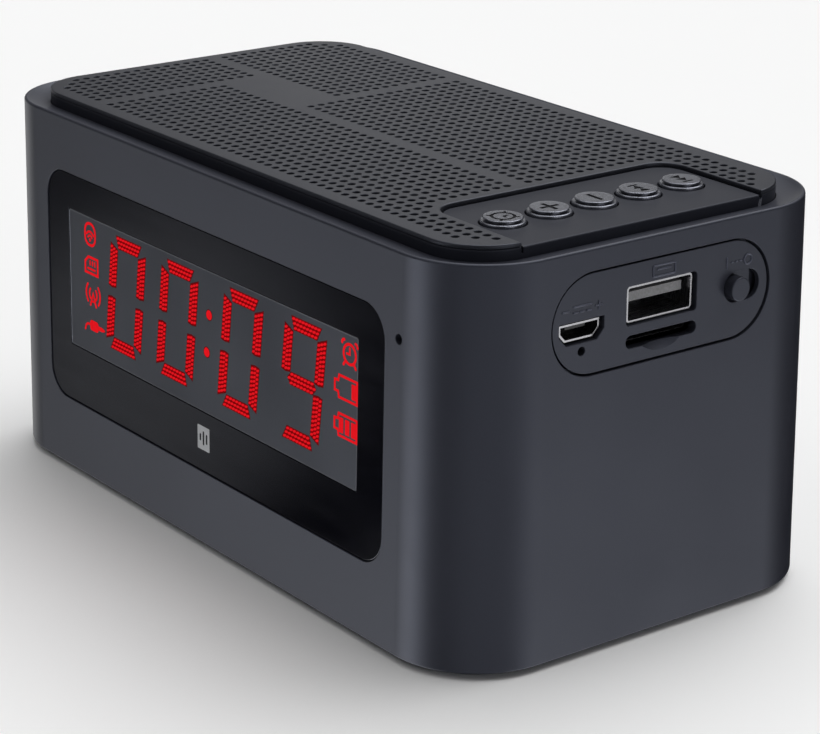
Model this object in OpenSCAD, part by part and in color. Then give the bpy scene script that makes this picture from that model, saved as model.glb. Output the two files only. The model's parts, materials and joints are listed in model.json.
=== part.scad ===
// Table-top clock radio: a moulded housing with a raised speaker deck under a
// perforated grille, an LED clock face in front, five keys on the deck and a
// panel of sockets with a slide switch on the right.
// Millimetres. The origin is on the table under the middle of the body; +X is
// to the right as the clock is read, -Y is the front and +Z is up.

/* [Body] */
// Width of the housing at its rim
body_w = 137.2; // [135:0.2:141]
// Depth of the housing at its rim
body_d = 76; // [75:0.5:80]
// Height of the housing from its underside to its rim
body_h = 64.6; // [64:0.2:68]
// Radius of the upright corners at the rim
corner_r = 14.6; // [14:0.1:15.4]
// How far each wall leans out between the rim and the underside
draft = 1; // [0.2:0.1:1.4]
// Thickness of the housing walls
wall = 2.4; // [2.2:0.1:2.6]
// Height of the rubber feet below the housing
foot_h = 1; // [0.6:0.1:2]

/* [Top] */
// Distance from the rim in to the side of the raised deck
deck_inset = 4.7; // [4.5:0.1:5]
// Depth of the gutter between the rim and the deck
gutter_h = 1; // [0.6:0.1:1.4]
// Height of the deck above the rim, without the grille
deck_rise = 0.8; // [0.6:0.1:1.2]
// Thickness of the grille plate
grille_t = 0.7; // [0.5:0.1:1]
// Distance between neighbouring holes in the grille
hole_pitch = 2.128; // [2.1:0.004:2.14]
// Diameter of a hole in the grille
hole_d = 1.3; // [1.1:0.05:1.4]

/* [Keys] */
// Left edge of the key field
field_x = 41.6; // [41:0.1:43]
// Half the length of the key field
field_y = 24.05; // [23.8:0.05:24.5]
// Radius of the inner corners of the key field
field_r = 4.5; // [2:0.1:6]
// Distance between neighbouring keys
key_pitch = 9; // [8.8:0.1:9.2]
// Diameter of a key cap
key_d = 7.1; // [6.6:0.1:7.3]
// Height of a key cap above the grille
key_proud = 0.3; // [0.1:0.1:0.6]
// Travel of a key
key_travel = 0.5; // [0.2:0.1:0.6]

/* [Clock face] */
// Width of the window in the front wall
window_w = 100.6; // [98:0.2:102]
// Height of the window
window_h = 42; // [40:0.2:43]
// Corner radius of the window
window_r = 5.4; // [4:0.1:7]
// Height of the window's middle above the underside
window_z = 33.9; // [33:0.1:35]
// Width of the display face
face_w = 86.6; // [86:0.1:88]
// Height of the display face
face_h = 25; // [24.6:0.1:26]
// Height of the display face's middle above the underside
face_z = 36; // [35.5:0.1:36.5]
// Height of a digit
digit_h = 20.8; // [18:0.2:21.6]
// Width of a digit
digit_w = 11.4; // [11:0.1:12.4]
// Width of one stroke of a digit
stroke = 2.4; // [1.6:0.1:2.6]
// The four digits on show
digits_shown = [0, 0, 0, 9];

/* [Sockets] */
// Length of the socket panel
panel_w = 44; // [43.6:0.1:44.4]
// Height of the socket panel
panel_h = 16.3; // [16:0.1:16.6]
// Height of the panel's middle above the underside
panel_z = 52.95; // [52.8:0.05:53.2]
// Travel of the slide switch
switch_travel = 2.4; // [1.5:0.1:2.6]
// Diameter of the slide switch's knob
knob_d = 3.85; // [3.6:0.05:4]

/* [Speakers] */
// Outside diameter of a speaker
speaker_d = 46; // [44:0.5:47]
// Diameter of a speaker's cone
cone_d = 34; // [32:0.5:35]
// Largest stroke of a cone each way
cone_stroke = 0.8; // [0.3:0.1:1]

/* [Battery] */
// Diameter of the battery cell
cell_d = 18.3; // [18:0.1:18.6]
// Length of the battery cell
cell_l = 65; // [60:0.5:66]

/* [Hidden] */

// Levels, measured up from the table
under_z = foot_h;
rim_z = under_z + body_h;
gutter_z = rim_z - gutter_h;
deck_z = rim_z + deck_rise;
grille_z = deck_z + grille_t;
ledge_t = 2;
deck_low_z = deck_z - 5.2;
ledge_z = deck_low_z - ledge_t;
deck_wall = 2;
deck_roof_z = deck_z - deck_wall;
speaker_ring_h = 1.5;
speaker_z = deck_roof_z - speaker_ring_h;

// All plan outlines of the body are this rectangle grown by a radius
core_x = body_w / 2 - corner_r;
core_y = body_d / 2 - corner_r;
deck_r = corner_r - deck_inset;
fit = 0.15;
ledge_r = deck_r - 3.9;
pocket_r = deck_r - 4.2;
rim_lip = 0.5;

// Front wall: the window pocket and what sits in it, as depths into the wall
lean = atan(draft / body_h);
pocket_t = 1.9;
bezel_t = 1.5;
tape_t = 0.2;
bezel_gap = 0.2;
pad_t = 2;
face_t = 1.6;
face_gap = 0.1;
reflector_t = 6;
board_t = 1.6;
display_post_x = 48;
display_post_y = 11;
digit_x = [-24.5, -8.1, 10.9, 28.3];
digit_mid = 0.85;
digit_slant = tan(6.6);
stroke_gap = 0.95;
stroke_tip = 1.3;
colon_x = 1.35;
colon_mid = 1.57;
colon_d = 1.9;
colon_rise = 3.3;
icon_left_x = -35.7;
icon_right_x = 40;
mic_x = 53.6;
mic_z = under_z + 51.2;
mic_d = 1.6;

// Right wall: the socket panel and the connectors on the main board
panel_t = 1.55;
panel_recess = 0.35;
panel_gap = 0.2;
panel_mid_y = 0.35;
panel_mid_z = under_z + panel_z;
port_y = 0.2;
charge_y = -15.62;
slot_z = panel_mid_z - 4.48;
well_mid_y = 16.63;
knob_mid_y = 16.28;
knob_y = knob_mid_y - switch_travel / 2;
knob_z = panel_mid_z + 0.25;
well_w = 7.3;
well_h = 4.9;
knob_proud = 1.3;
flange_x = 66.98;
flange_t = 0.52;
lever_x1 = 66.3;
main_top_z = panel_mid_z - 2.3;
main_t = 1.2;
main_low_z = main_top_z - main_t;
main_x0 = 38.6;
main_x1 = 64.4;
main_y = 28;
posts = [[41, 26.5], [41, -26.5], [56, 25.5], [56, -25.5]];
usb_w = 13.1;
usb_h = 5.7;
usb_l = 14;
tongue_up = 0.75;
tongue_t = 1.5;
usb_z = panel_mid_z + 1.2;
charge_z = main_top_z + 1.37;
socket_x = body_w / 2 - 0.75;
sheet = 0.3;

// Keys
field_mid_y = 0.35;
key_x = 52.5;
key_step = [-2, -1, 0, 1, 2];
key_top_z = grille_z + key_proud;
key_well_r = key_d / 2 + 0.2;
key_flange_r = key_d / 2 + 0.8;
key_flange_z = deck_roof_z - 0.95;
key_flange_t = 0.8;
key_board_t = 1.2;
key_board_z = deck_roof_z - 5;
key_board_top = key_board_z + key_board_t;
switch_h = 1.5;
plunger_r = 1.2;
plunger_top = key_board_top + switch_h + 0.55;
key_board_x0 = 43.6;
key_board_x1 = 59;
key_board_y = 22.6;
key_bosses = [[46, 13.5], [46, -13.5]];

// Speakers
left_x = -36;
right_x = 14;
basket_t = 1.2;
basket_h = 12;
magnet_r = 14;
magnet_h = 6;
coil_r = 6.5;
speaker_hole_r = speaker_d / 2 - 4;
ear_r = speaker_d / 2 - 1.6;

last_column = 57;
last_row = 14;

// Screws
boss_r = 3.4;
cover_screws_at = [[56.5, 26.5], [-56.5, 26.5], [56.5, -26.5], [-56.5, -26.5]];
deck_screws_at = [for (x = [-50, 0, 50]) for (y = [-1, 1]) [x, y * (core_y + deck_r - 1.95)]];
cover_z = under_z + 0.2;
cover_t = 2.4;
cover_top = cover_z + cover_t;
feet_at = [[47, 26], [-47, 26], [47, -26], [-47, -26]];
foot_r = 6;
foot_seat = 1;

// Battery
cell_x = -15;
cell_y = 17;
cell_z = cover_top + 1.6 + cell_d / 2;

$fn = 96;
tiny = 0.01;

// How much wider each side is at height z than at the rim
function spread(z) = draft * (rim_z - z) / body_h;

// Outline of the body grown by r, tapering from r0 at z0 to r1 at z1
module block(z0, z1, r0, r1) {
    h = z1 - z0;
    for (x = [-core_x, core_x], y = [-core_y, core_y])
        translate([x, y, z0]) cylinder(h = h, r1 = r0, r2 = r1);
    rotate([90, 0, 90]) linear_extrude(height = 2 * core_x, center = true)
        polygon([[-core_y - r0, z0], [core_y + r0, z0], [core_y + r1, z1], [-core_y - r1, z1]]);
    rotate([90, 0, 0]) linear_extrude(height = 2 * core_y, center = true)
        polygon([[-core_x - r0, z0], [core_x + r0, z0], [core_x + r1, z1], [-core_x - r1, z1]]);
}

// The same outline with upright sides
module slab(r, z0, z1) {
    translate([0, 0, z0]) linear_extrude(height = z1 - z0) core_outline(r);
}

module core_outline(r) {
    rounded_rect(2 * (core_x + r), 2 * (core_y + r), r);
}

// A flat rectangle with round corners, as circles and squares
module rounded_rect(w, h, r) {
    if (w > 2 * r) square([w - 2 * r, h], center = true);
    if (h > 2 * r) square([w, h - 2 * r], center = true);
    for (x = [-1, 1], y = [-1, 1])
        translate([x * (w / 2 - r), y * (h / 2 - r)]) circle(r = r);
}

// A cylinder on the Z axis between two levels
module rod(r, z0, z1) {
    translate([0, 0, z0]) cylinder(h = z1 - z0, r = r);
}

// Children drawn flat and facing outwards on the leaning front wall: local X is
// right, local Y is up the wall and local Z comes out of it
module on_front(z) {
    translate([0, -body_d / 2 - spread(z), z]) rotate([90 - lean, 0, 0]) children();
}

// The same for the right wall: local X runs towards the back
module on_right(z) {
    translate([body_w / 2 + spread(z), 0, z]) rotate([0, 0, 90]) rotate([90 - lean, 0, 0]) children();
}

// A straight cut or peg on the right wall, looking along X
module along_x(x0, x1, y, z) {
    translate([x0, y, z]) rotate([90, 0, 90]) linear_extrude(height = x1 - x0) children();
}

// Screw with a pan head, standing on the Z axis with its point up
module screw_up(head_z, head_r, head_h, shank_r, length) {
    difference() {
        union() {
            rod(head_r, head_z, head_z + head_h);
            rod(shank_r, head_z, head_z + head_h + length);
        }
        for (turn = [0, 90])
            rotate(turn) translate([-head_r * 0.6, -0.25, head_z - 1])
                cube([head_r * 1.2, 0.5, 1 + head_h * 0.5]);
    }
}

// A wire laid along points, round at every bend
module wire(points, r) {
    for (i = [0 : len(points) - 2]) {
        run = points[i + 1] - points[i];
        length = norm(run);
        translate(points[i]) rotate([0, acos(run[2] / length), atan2(run[1], run[0])]) {
            cylinder(h = length, r = r, $fn = 16);
            if (i > 0) sphere(r = r * 1.3, $fn = 16);
        }
    }
}

// ---- Housing ----

module window_cut() {
    mid = under_z + window_z;
    on_front(mid) translate([0, 0, -pocket_t]) linear_extrude(height = pocket_t + 1)
        rounded_rect(window_w, window_h, window_r);
    on_front(under_z + face_z) translate([0, 0, -12]) linear_extrude(height = 12)
        rounded_rect(face_w + 3.4, face_h + 5, 2);
}

module panel_cut() {
    on_right(panel_mid_z) translate([panel_mid_y, 0, -panel_t - panel_recess])
        linear_extrude(height = panel_t + panel_recess + 1)
            rounded_rect(panel_w, panel_h, panel_h / 2);
    along_x(core_x + deck_r - 2, socket_x + 0.5, panel_mid_y - 5.4, panel_mid_z - 0.3)
        rounded_rect(29.8, 11, 4);
    along_x(core_x + deck_r - 2, socket_x + 0.5, knob_mid_y, knob_z)
        square([switch_travel + 4, 3.6], center = true);
}

module cover_boss(x, y) {
    side = sign(x);
    translate([x, y, cover_top]) cylinder(h = 16, r = boss_r);
    translate([side > 0 ? x : x - 11, y - 0.8, cover_top]) cube([11, 1.6, 14]);
    translate([x - 0.8, sign(y) > 0 ? y : y - 10, cover_top]) cube([1.6, 10, 14]);
}

module housing() {
    color([0.20, 0.21, 0.24]) difference() {
        union() {
            difference() {
                block(under_z, rim_z, corner_r + draft, corner_r);
                block(under_z - 1, ledge_z,
                      corner_r - wall + spread(under_z - 1), corner_r - wall + spread(ledge_z));
            }
            intersection() {
                block(under_z + tiny, rim_z - 1, corner_r + draft - 0.5, corner_r - 0.5);
                union() {
                    on_front(under_z + window_z) translate([0, 0, -wall - pad_t])
                        linear_extrude(height = wall + pad_t - 1)
                            rounded_rect(window_w + 4, window_h + 4, window_r + 2);
                    for (x = [-1, 1], y = [-1, 1]) on_front(under_z + face_z)
                        translate([x * display_post_x, y * display_post_y, -pocket_t - reflector_t])
                            cylinder(h = reflector_t - 1, r = 2.2);
                    on_right(panel_mid_z) translate([panel_mid_y, 0, -wall - 1.6])
                        linear_extrude(height = wall + 0.6)
                            rounded_rect(panel_w + 5, panel_h + 5, 4);
                    on_front(mic_z) translate([mic_x, 0, -wall - 1.6])
                        cylinder(h = wall + 0.6, r = 4.2);
                    for (p = cover_screws_at) cover_boss(p[0], p[1]);
                }
            }
        }
        slab(ledge_r, ledge_z - 1, deck_low_z + 1);
        slab(deck_r + fit, deck_low_z, rim_z + 1);
        block(gutter_z, rim_z + tiny, deck_r + fit, corner_r - rim_lip);
        window_cut();
        panel_cut();
        on_front(mic_z) translate([mic_x, 0, -wall - 3]) cylinder(h = wall + 4, r = mic_d / 2);
        on_front(mic_z) translate([mic_x, 0, -wall - 3]) cylinder(h = 3.4, r = 3.1);
        for (x = [-1, 1], y = [-1, 1]) on_front(under_z + face_z)
            translate([x * display_post_x, y * display_post_y, -pocket_t - reflector_t - 1])
                cylinder(h = 4.6, r = 0.8);
        for (p = cover_screws_at) translate([p[0], p[1], 0]) rod(1.1, cover_top - 1, cover_top + 12);
        for (p = deck_screws_at) translate([p[0], p[1], 0]) rod(1.2, ledge_z - 1, deck_low_z + 1);
    }
}

// ---- Bottom ----

module bottom_cover() {
    cover_r = corner_r + draft - wall - fit;
    color([0.16, 0.17, 0.19]) difference() {
        slab(cover_r, cover_z, cover_top);
        for (p = feet_at) translate([p[0], p[1], 0]) rod(foot_r + fit, cover_z - 1, cover_z + foot_seat);
        for (p = cover_screws_at) translate([p[0], p[1], 0]) {
            rod(1.4, cover_z - 1, cover_top + 1);
            rod(2.7, cover_z - 1, cover_z + 1.4);
        }
        for (i = [-5 : 5])
            translate([i * 4, -4, cover_z - 1]) linear_extrude(height = cover_t + 2)
                rounded_rect(1.8, 14, 0.9);
    }
}

module rubber_feet() {
    color([0.08, 0.08, 0.08]) for (p = feet_at) translate([p[0], p[1], 0]) {
        translate([0, 0, 0]) cylinder(h = 0.4, r1 = foot_r - 0.4, r2 = foot_r);
        rod(foot_r, 0.4, cover_z + foot_seat);
    }
}

module cover_screws() {
    color([0.6, 0.6, 0.62]) for (p = cover_screws_at)
        translate([p[0], p[1], 0]) screw_up(cover_z + 0.1, 2.4, 1.3, 1.1, 9);
}

// ---- Deck and grille ----

// The key field is open to the right, with two round corners at its left end
module key_field(margin) {
    r = field_r - margin;
    x0 = field_x + margin;
    y0 = field_y - margin;
    translate([0, field_mid_y]) {
        translate([x0 + r, -y0]) square([40, 2 * y0]);
        translate([x0, -y0 + r]) square([r + 1, 2 * (y0 - r)]);
        for (y = [-1, 1]) translate([x0 + r, y * (y0 - r)]) circle(r = r);
    }
}

module top_deck() {
    groove_w = 0.4;
    groove_h = 0.5;
    edge_x = core_x + deck_r;
    color([0.20, 0.21, 0.24]) difference() {
        union() {
            difference() {
                slab(deck_r, deck_low_z, deck_z);
                slab(pocket_r, deck_low_z - 1, deck_roof_z);
            }
            for (x = [left_x, right_x])
                translate([x, 0, 0]) rod(speaker_d / 2 + 1, speaker_z, deck_roof_z + tiny);
            for (p = key_bosses)
                translate([p[0], p[1], 0]) rod(2.5, key_board_top, deck_roof_z + tiny);
            for (p = posts)
                translate([p[0], p[1], 0]) rod(2.5, main_top_z, deck_roof_z + tiny);
        }
        for (x = [left_x, right_x]) {
            translate([x, 0, 0]) rod(speaker_hole_r, speaker_z - 1, deck_z + 1);
            for (a = [45 : 90 : 315]) translate([x, 0, 0]) rotate(a)
                translate([ear_r, 0, 0]) rod(0.8, speaker_z - 1, deck_z - 0.8);
        }
        for (i = key_step)
            translate([key_x, i * key_pitch, 0]) rod(key_well_r, deck_roof_z - 1, deck_z + 1);
        for (p = key_bosses)
            translate([p[0], p[1], 0]) rod(0.8, key_board_top - 1, deck_roof_z + 0.8);
        for (p = posts)
            translate([p[0], p[1], 0]) rod(0.8, main_top_z - 1, main_top_z + 6);
        for (p = deck_screws_at)
            translate([p[0], p[1], 0]) rod(0.8, deck_low_z - 1, deck_low_z + 4);
        translate([0, 0, deck_z - groove_h]) linear_extrude(height = 1) difference() {
            key_field(0);
            key_field(groove_w);
        }
        for (y = [-field_y, field_y - groove_w])
            translate([edge_x - 0.4, field_mid_y + y, deck_z - 1]) cube([1, groove_w, 2]);
    }
}

module deck_screws() {
    color([0.6, 0.6, 0.62]) for (p = deck_screws_at)
        translate([p[0], p[1], 0]) screw_up(ledge_z - 1.3, 1.8, 1.3, 0.8, 5.4);
}

// Whether the grille has a hole in column c and row k: four fields around a
// plain patch, ending at the key field and at the round corners
function open_at(c, k) =
    let (e = abs(k), first = e == 14 ? 2 : e == 13 ? 1 : 0,
         last = e < 11 ? 47 : e == 11 ? 48 : 69 - e)
    c >= first && c <= last && (
        c < 8 && k < 2 || c > 8 && k < -2 ||
        c < 18 && k > 2 || c > 18 && k > -2);

module grille_plate() {
    color([0.10, 0.10, 0.11]) translate([0, 0, deck_z]) linear_extrude(height = grille_t) difference() {
        core_outline(deck_r);
        key_field(0);
        for (k = [-last_row : last_row]) for (c = [0 : last_column])
            if (open_at(c, k)) translate([(c - last_column / 2) * hole_pitch - 0.4, k * hole_pitch])
                circle(d = hole_d, $fn = 16);
    }
}

module grille_cloth() {
    sink = 0.3;
    color([0.05, 0.05, 0.05]) for (x = [left_x, right_x])
        translate([x, 0, 0]) rod(speaker_hole_r - 0.2, deck_z - sink, deck_z);
}

// ---- Clock face ----

module display_bezel() {
    shift = face_z - window_z;
    color([0.03, 0.03, 0.04]) on_front(under_z + window_z) translate([0, 0, -bezel_gap - bezel_t])
        linear_extrude(height = bezel_t) difference() {
            rounded_rect(window_w - 2 * bezel_gap, window_h - 2 * bezel_gap, window_r - bezel_gap);
            translate([0, shift]) square([face_w, face_h], center = true);
        }
}

module bezel_tape() {
    shift = face_z - window_z;
    color([0.15, 0.15, 0.15]) on_front(under_z + window_z) translate([0, 0, -pocket_t])
        linear_extrude(height = tape_t) difference() {
            rounded_rect(window_w - 2, window_h - 2, window_r - 1);
            translate([0, shift]) square([face_w + 4, face_h + 5.4], center = true);
        }
}

// Strokes of a digit, lettered a to g from the top clockwise, middle last
lit = [
    [1, 1, 1, 1, 1, 1, 0], [0, 1, 1, 0, 0, 0, 0], [1, 1, 0, 1, 1, 0, 1], [1, 1, 1, 1, 0, 0, 1],
    [0, 1, 1, 0, 0, 1, 1], [1, 0, 1, 1, 0, 1, 1], [1, 0, 1, 1, 1, 1, 1], [1, 1, 1, 0, 0, 0, 0],
    [1, 1, 1, 1, 1, 1, 1], [1, 1, 1, 1, 0, 1, 1]
];

function slanted(points) = [for (p = points) [p[0] + p[1] * digit_slant, p[1]]];

// The outlines of the seven strokes, centred on the digit: upright strokes have
// one end cut towards the corner, level strokes are shorter on their inner side
function stroke_points(i) =
    let (x = digit_w / 2, y = digit_h / 2, s = stroke, g = stroke_gap, t = stroke_tip)
    i == 0 ? [[-x + 1.7, y], [x - 1.7, y], [x - 2.7, y - 2.2], [-x + 2.7, y - 2.2]] :
    i == 1 ? [[x, y - 1.6], [x, g], [x - s, g], [x - s, y - 1.6 - t]] :
    i == 2 ? [for (p = stroke_points(1)) [p[0], -p[1]]] :
    i == 3 ? [for (p = stroke_points(0)) [p[0], -p[1]]] :
    i == 4 ? [for (p = stroke_points(2)) [-p[0], p[1]]] :
    i == 5 ? [for (p = stroke_points(1)) [-p[0], p[1]]] :
    [[-x + 1.9, 0], [-x + 2.8, 1.05], [x - 2.8, 1.05],
     [x - 1.9, 0], [x - 2.8, -1.05], [-x + 2.8, -1.05]];

module digit_shapes() {
    for (k = [0 : 3]) translate([digit_x[k], digit_mid])
        for (i = [0 : 6]) if (lit[digits_shown[k]][i] == 1) polygon(slanted(stroke_points(i)));
    for (y = [-colon_rise, colon_rise]) translate([colon_x, colon_mid + y]) circle(d = colon_d, $fn = 32);
}

// Left column: four signs for the sound source. Right column: alarm and battery
module icon_shapes() {
    for (y = [9.3, 3.8, -1.7, -7.2]) translate([icon_left_x, y]) rounded_rect(4.2, 3.8, 1);
    translate([icon_right_x + 0.9, 9.3]) circle(d = 4.4, $fn = 48);
    for (y = [3.4, -2.8]) translate([icon_right_x, y]) rounded_rect(6, 4, 0.6);
}

module display_face() {
    color([0.27, 0.29, 0.31]) on_front(under_z + face_z) translate([0, 0, -pocket_t])
        linear_extrude(height = face_t) difference() {
            square([face_w - 2 * face_gap, face_h - 2 * face_gap], center = true);
            digit_shapes();
            icon_shapes();
        }
}

module display_digits() {
    color([0.93, 0.1, 0.12]) on_front(under_z + face_z) translate([0, 0, -pocket_t])
        linear_extrude(height = face_t) digit_shapes();
}

module display_icons() {
    color([0.93, 0.1, 0.12]) on_front(under_z + face_z) translate([0, 0, -pocket_t])
        linear_extrude(height = face_t) icon_shapes();
}

module display_reflector() {
    rim = 1.2;
    color([0.9, 0.9, 0.88]) on_front(under_z + face_z) translate([0, 0, -pocket_t - reflector_t])
        difference() {
            linear_extrude(height = reflector_t) square([face_w + 2, face_h + 2.4], center = true);
            for (x = digit_x) translate([x, digit_mid, 2]) linear_extrude(height = reflector_t)
                square([digit_w + 3, digit_h + 0.6], center = true);
            for (x = [icon_left_x, icon_right_x]) translate([x, 0, 2]) linear_extrude(height = reflector_t)
                square([6.6, face_h - 2 * rim], center = true);
        }
}

module display_board() {
    color([0.05, 0.25, 0.12]) on_front(under_z + face_z)
        translate([0, 0, -pocket_t - reflector_t - board_t]) linear_extrude(height = board_t)
            difference() {
                square([2 * display_post_x + 4.6, face_h + 4], center = true);
                for (x = [-1, 1], y = [-1, 1])
                    translate([x * display_post_x, y * display_post_y]) circle(r = 1, $fn = 24);
            }
}

module display_screws() {
    color([0.6, 0.6, 0.62]) on_front(under_z + face_z) for (x = [-1, 1], y = [-1, 1])
        translate([x * display_post_x, y * display_post_y, -pocket_t - reflector_t - board_t])
            screw_up(-1, 1.7, 1, 0.8, 4.4);
}

module microphone() {
    color([0.75, 0.75, 0.77]) on_front(mic_z) translate([mic_x, 0, -wall - 1.4])
        cylinder(h = 1.5, r = 2);
}

module microphone_boot() {
    color([0.07, 0.07, 0.07]) on_front(mic_z) translate([mic_x, 0, -wall - 1.4]) difference() {
        cylinder(h = 1.8, r = 3);
        translate([0, 0, -1]) cylinder(h = 2.5, r = 2);
        translate([0, 0, -1]) cylinder(h = 4, r = 1);
    }
}

// ---- Socket panel and connectors ----

// Outline of the charging socket: wide at the top, cut at its lower corners
module charge_outline(w, h, cut) {
    polygon([[-w / 2, h / 2], [w / 2, h / 2], [w / 2, -h / 2 + cut],
             [w / 2 - cut * 0.9, -h / 2], [-w / 2 + cut * 0.9, -h / 2], [-w / 2, -h / 2 + cut]]);
}

module socket_panel() {
    scoop_r = 10;
    scoop_out = 7.6;
    scoop_up = 3.93;
    color([0.20, 0.21, 0.24]) difference() {
        on_right(panel_mid_z) translate([panel_mid_y, 0, -panel_recess - panel_t])
            linear_extrude(height = panel_t)
                rounded_rect(panel_w - 2 * panel_gap, panel_h - 2 * panel_gap, panel_h / 2 - panel_gap);
        along_x(60, 72, port_y, usb_z) rounded_rect(14.1, 6.2, 0.6);
        along_x(60, 72, charge_y, charge_z) charge_outline(8.7, 3.5, 1.6);
        along_x(60, 72, port_y, slot_z) rounded_rect(14.2, 2.04, 1.02);
        intersection() {
            translate([body_w / 2 + scoop_out, port_y, slot_z + scoop_up]) sphere(r = scoop_r);
            translate([60, port_y - 6.5, slot_z - 5]) cube([10, 13, 5]);
        }
        along_x(60, 72, charge_y, panel_mid_z - 3.98) circle(r = 0.7);
        along_x(60, 72, well_mid_y, knob_z) rounded_rect(well_w, well_h, well_h / 2);
        along_x(60, flange_x + flange_t + 0.08, 14.5, knob_z) square([14.1, 5.9], center = true);
    }
}

module usb_shell() {
    color([0.75, 0.75, 0.77]) {
        along_x(socket_x - usb_l, socket_x, port_y, usb_z) difference() {
            rounded_rect(usb_w, usb_h, 0.6);
            rounded_rect(usb_w - 2 * sheet, usb_h - 2 * sheet, 0.3);
        }
        for (y = [port_y - usb_w / 2, port_y + usb_w / 2 - sheet])
            translate([socket_x - 9, y, main_top_z]) cube([3, sheet, usb_z - main_top_z]);
    }
}

module usb_tongue() {
    color([0.85, 0.85, 0.84]) {
        along_x(socket_x - usb_l, socket_x - 1.3, port_y, usb_z + tongue_up)
            square([11.1, tongue_t], center = true);
        along_x(socket_x - usb_l, socket_x - usb_l + 3, port_y, usb_z)
            square([usb_w - 2 * sheet - 0.3, usb_h - 2 * sheet - 0.3], center = true);
    }
    color([0.85, 0.68, 0.3]) for (y = [-3.5, -1, 1, 3.5])
        along_x(socket_x - usb_l + 2.9, socket_x - 2, port_y + y, usb_z + tongue_up - tongue_t / 2 - 0.05)
            square([1, 0.2], center = true);
}

module charge_shell() {
    color([0.75, 0.75, 0.77]) along_x(socket_x - 5.5, socket_x, charge_y, charge_z) difference() {
        charge_outline(7.8, 2.7, 1.2);
        charge_outline(7.8 - 2 * sheet, 2.7 - 2 * sheet, 1.05);
    }
}

module charge_tongue() {
    color([0.1, 0.1, 0.1]) {
        along_x(socket_x - 5.5, socket_x - 1, charge_y, charge_z + 0.45) square([3.9, 0.6], center = true);
        along_x(socket_x - 5.5, socket_x - 4.7, charge_y, charge_z) charge_outline(7, 1.9, 1.05);
    }
    color([0.85, 0.68, 0.3]) for (i = [-2 : 2])
        along_x(socket_x - 4.7, socket_x - 1.2, charge_y + i * 0.65, charge_z + 0.1)
            square([0.35, 0.1], center = true);
}

module card_socket() {
    card_w = 14.4;
    card_h = 1.85;
    mid_z = main_low_z - card_h / 2;
    color([0.72, 0.72, 0.74]) difference() {
        along_x(socket_x - 17, socket_x - 2, port_y, mid_z) square([card_w, card_h], center = true);
        along_x(socket_x - 16, socket_x, port_y, mid_z - 0.1)
            square([card_w - 1, card_h - 0.5], center = true);
    }
}

module charge_light() {
    color([0.9, 0.85, 0.5]) along_x(socket_x - 5, socket_x - 3.6, charge_y, main_low_z - 0.4)
        square([1.6, 0.8], center = true);
}

module slide_switch() {
    color([0.7, 0.7, 0.72]) difference() {
        along_x(main_x1 - 4.4, main_x1 - 0.6, knob_mid_y, main_top_z + 2.3)
            square([9.4, 4.6], center = true);
        along_x(main_x1 - 2, main_x1, knob_mid_y, knob_z) square([5.2, 1.9], center = true);
    }
}

module switch_lever() {
    color([0.85, 0.85, 0.84]) along_x(main_x1 - 1.9, lever_x1, knob_y, knob_z)
        square([1.8, 1.5], center = true);
}

// A round knob on a thin flange that slides behind the panel, with a shank
// that takes the switch's lever
module power_knob() {
    tip_x = body_w / 2 + spread(knob_z) + knob_proud;
    edge = 0.2;
    color([0.20, 0.21, 0.24]) difference() {
        union() {
            translate([0, knob_y, knob_z]) rotate([0, 90, 0]) rod(knob_d / 2, flange_x, tip_x - edge);
            translate([tip_x - edge, knob_y, knob_z]) rotate([0, 90, 0])
                cylinder(h = edge, r1 = knob_d / 2, r2 = knob_d / 2 - edge);
            along_x(flange_x, flange_x + flange_t, knob_y - 0.5, knob_z) square([9, 5.6], center = true);
            along_x(flange_x - 2.2, flange_x + tiny, knob_y, knob_z) square([3.4, 3], center = true);
        }
        along_x(flange_x - 3, lever_x1 + 0.1, knob_y, knob_z) square([1.84, 1.54], center = true);
    }
}

// ---- Boards ----

module main_board() {
    color([0.05, 0.25, 0.12]) difference() {
        translate([main_x0, -main_y, main_low_z]) cube([main_x1 - main_x0, 2 * main_y, main_t]);
        for (p = posts) translate([p[0], p[1], 0]) rod(1.1, main_low_z - 1, main_top_z + 1);
    }
}

module chip(x, y, w, d, h) {
    translate([x - w / 2, y - d / 2, main_low_z - h]) cube([w, d, h]);
}

module main_board_parts() {
    color([0.08, 0.08, 0.08]) {
        chip(45, -8, 7, 7, 1.2);
        chip(45, 8, 5, 4, 1.5);
        chip(45, 17, 5, 5, 1.2);
    }
    color([0.75, 0.75, 0.78]) {
        for (y = [-19, 22]) translate([46, y, 0]) rod(2.5, main_low_z - 6, main_low_z);
        translate([48, -17, main_top_z]) cube([4, 8, 2.6]);
        translate([45, 18, main_top_z]) cube([4, 8, 3]);
    }
}

module key_board() {
    color([0.05, 0.25, 0.12]) difference() {
        translate([key_board_x0, -key_board_y, key_board_z])
            cube([key_board_x1 - key_board_x0, 2 * key_board_y, key_board_t]);
        for (p = key_bosses) translate([p[0], p[1], 0]) rod(1, key_board_z - 1, key_board_top + 1);
    }
}

module board_screws() {
    color([0.6, 0.6, 0.62]) {
        for (p = posts) translate([p[0], p[1], 0]) screw_up(main_low_z - 1.2, 1.8, 1.2, 0.8, 6.4);
        for (p = key_bosses) translate([p[0], p[1], 0]) screw_up(key_board_z - 1, 1.7, 1, 0.8, 4.6);
    }
}

module key_switches() {
    side = 5;
    bore_z = key_board_top + 0.3;
    color([0.75, 0.75, 0.77]) for (i = key_step) translate([key_x, i * key_pitch, 0]) difference() {
        translate([-side / 2, -side / 2, key_board_top]) cube([side, side, switch_h]);
        rod(plunger_r + 0.1, bore_z, key_board_top + switch_h + 1);
    }
}

module plunger(i) {
    color([0.1, 0.1, 0.1]) translate([key_x, i * key_pitch, 0])
        rod(plunger_r, key_board_top + 0.9, plunger_top);
}

// ---- Keys ----

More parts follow.
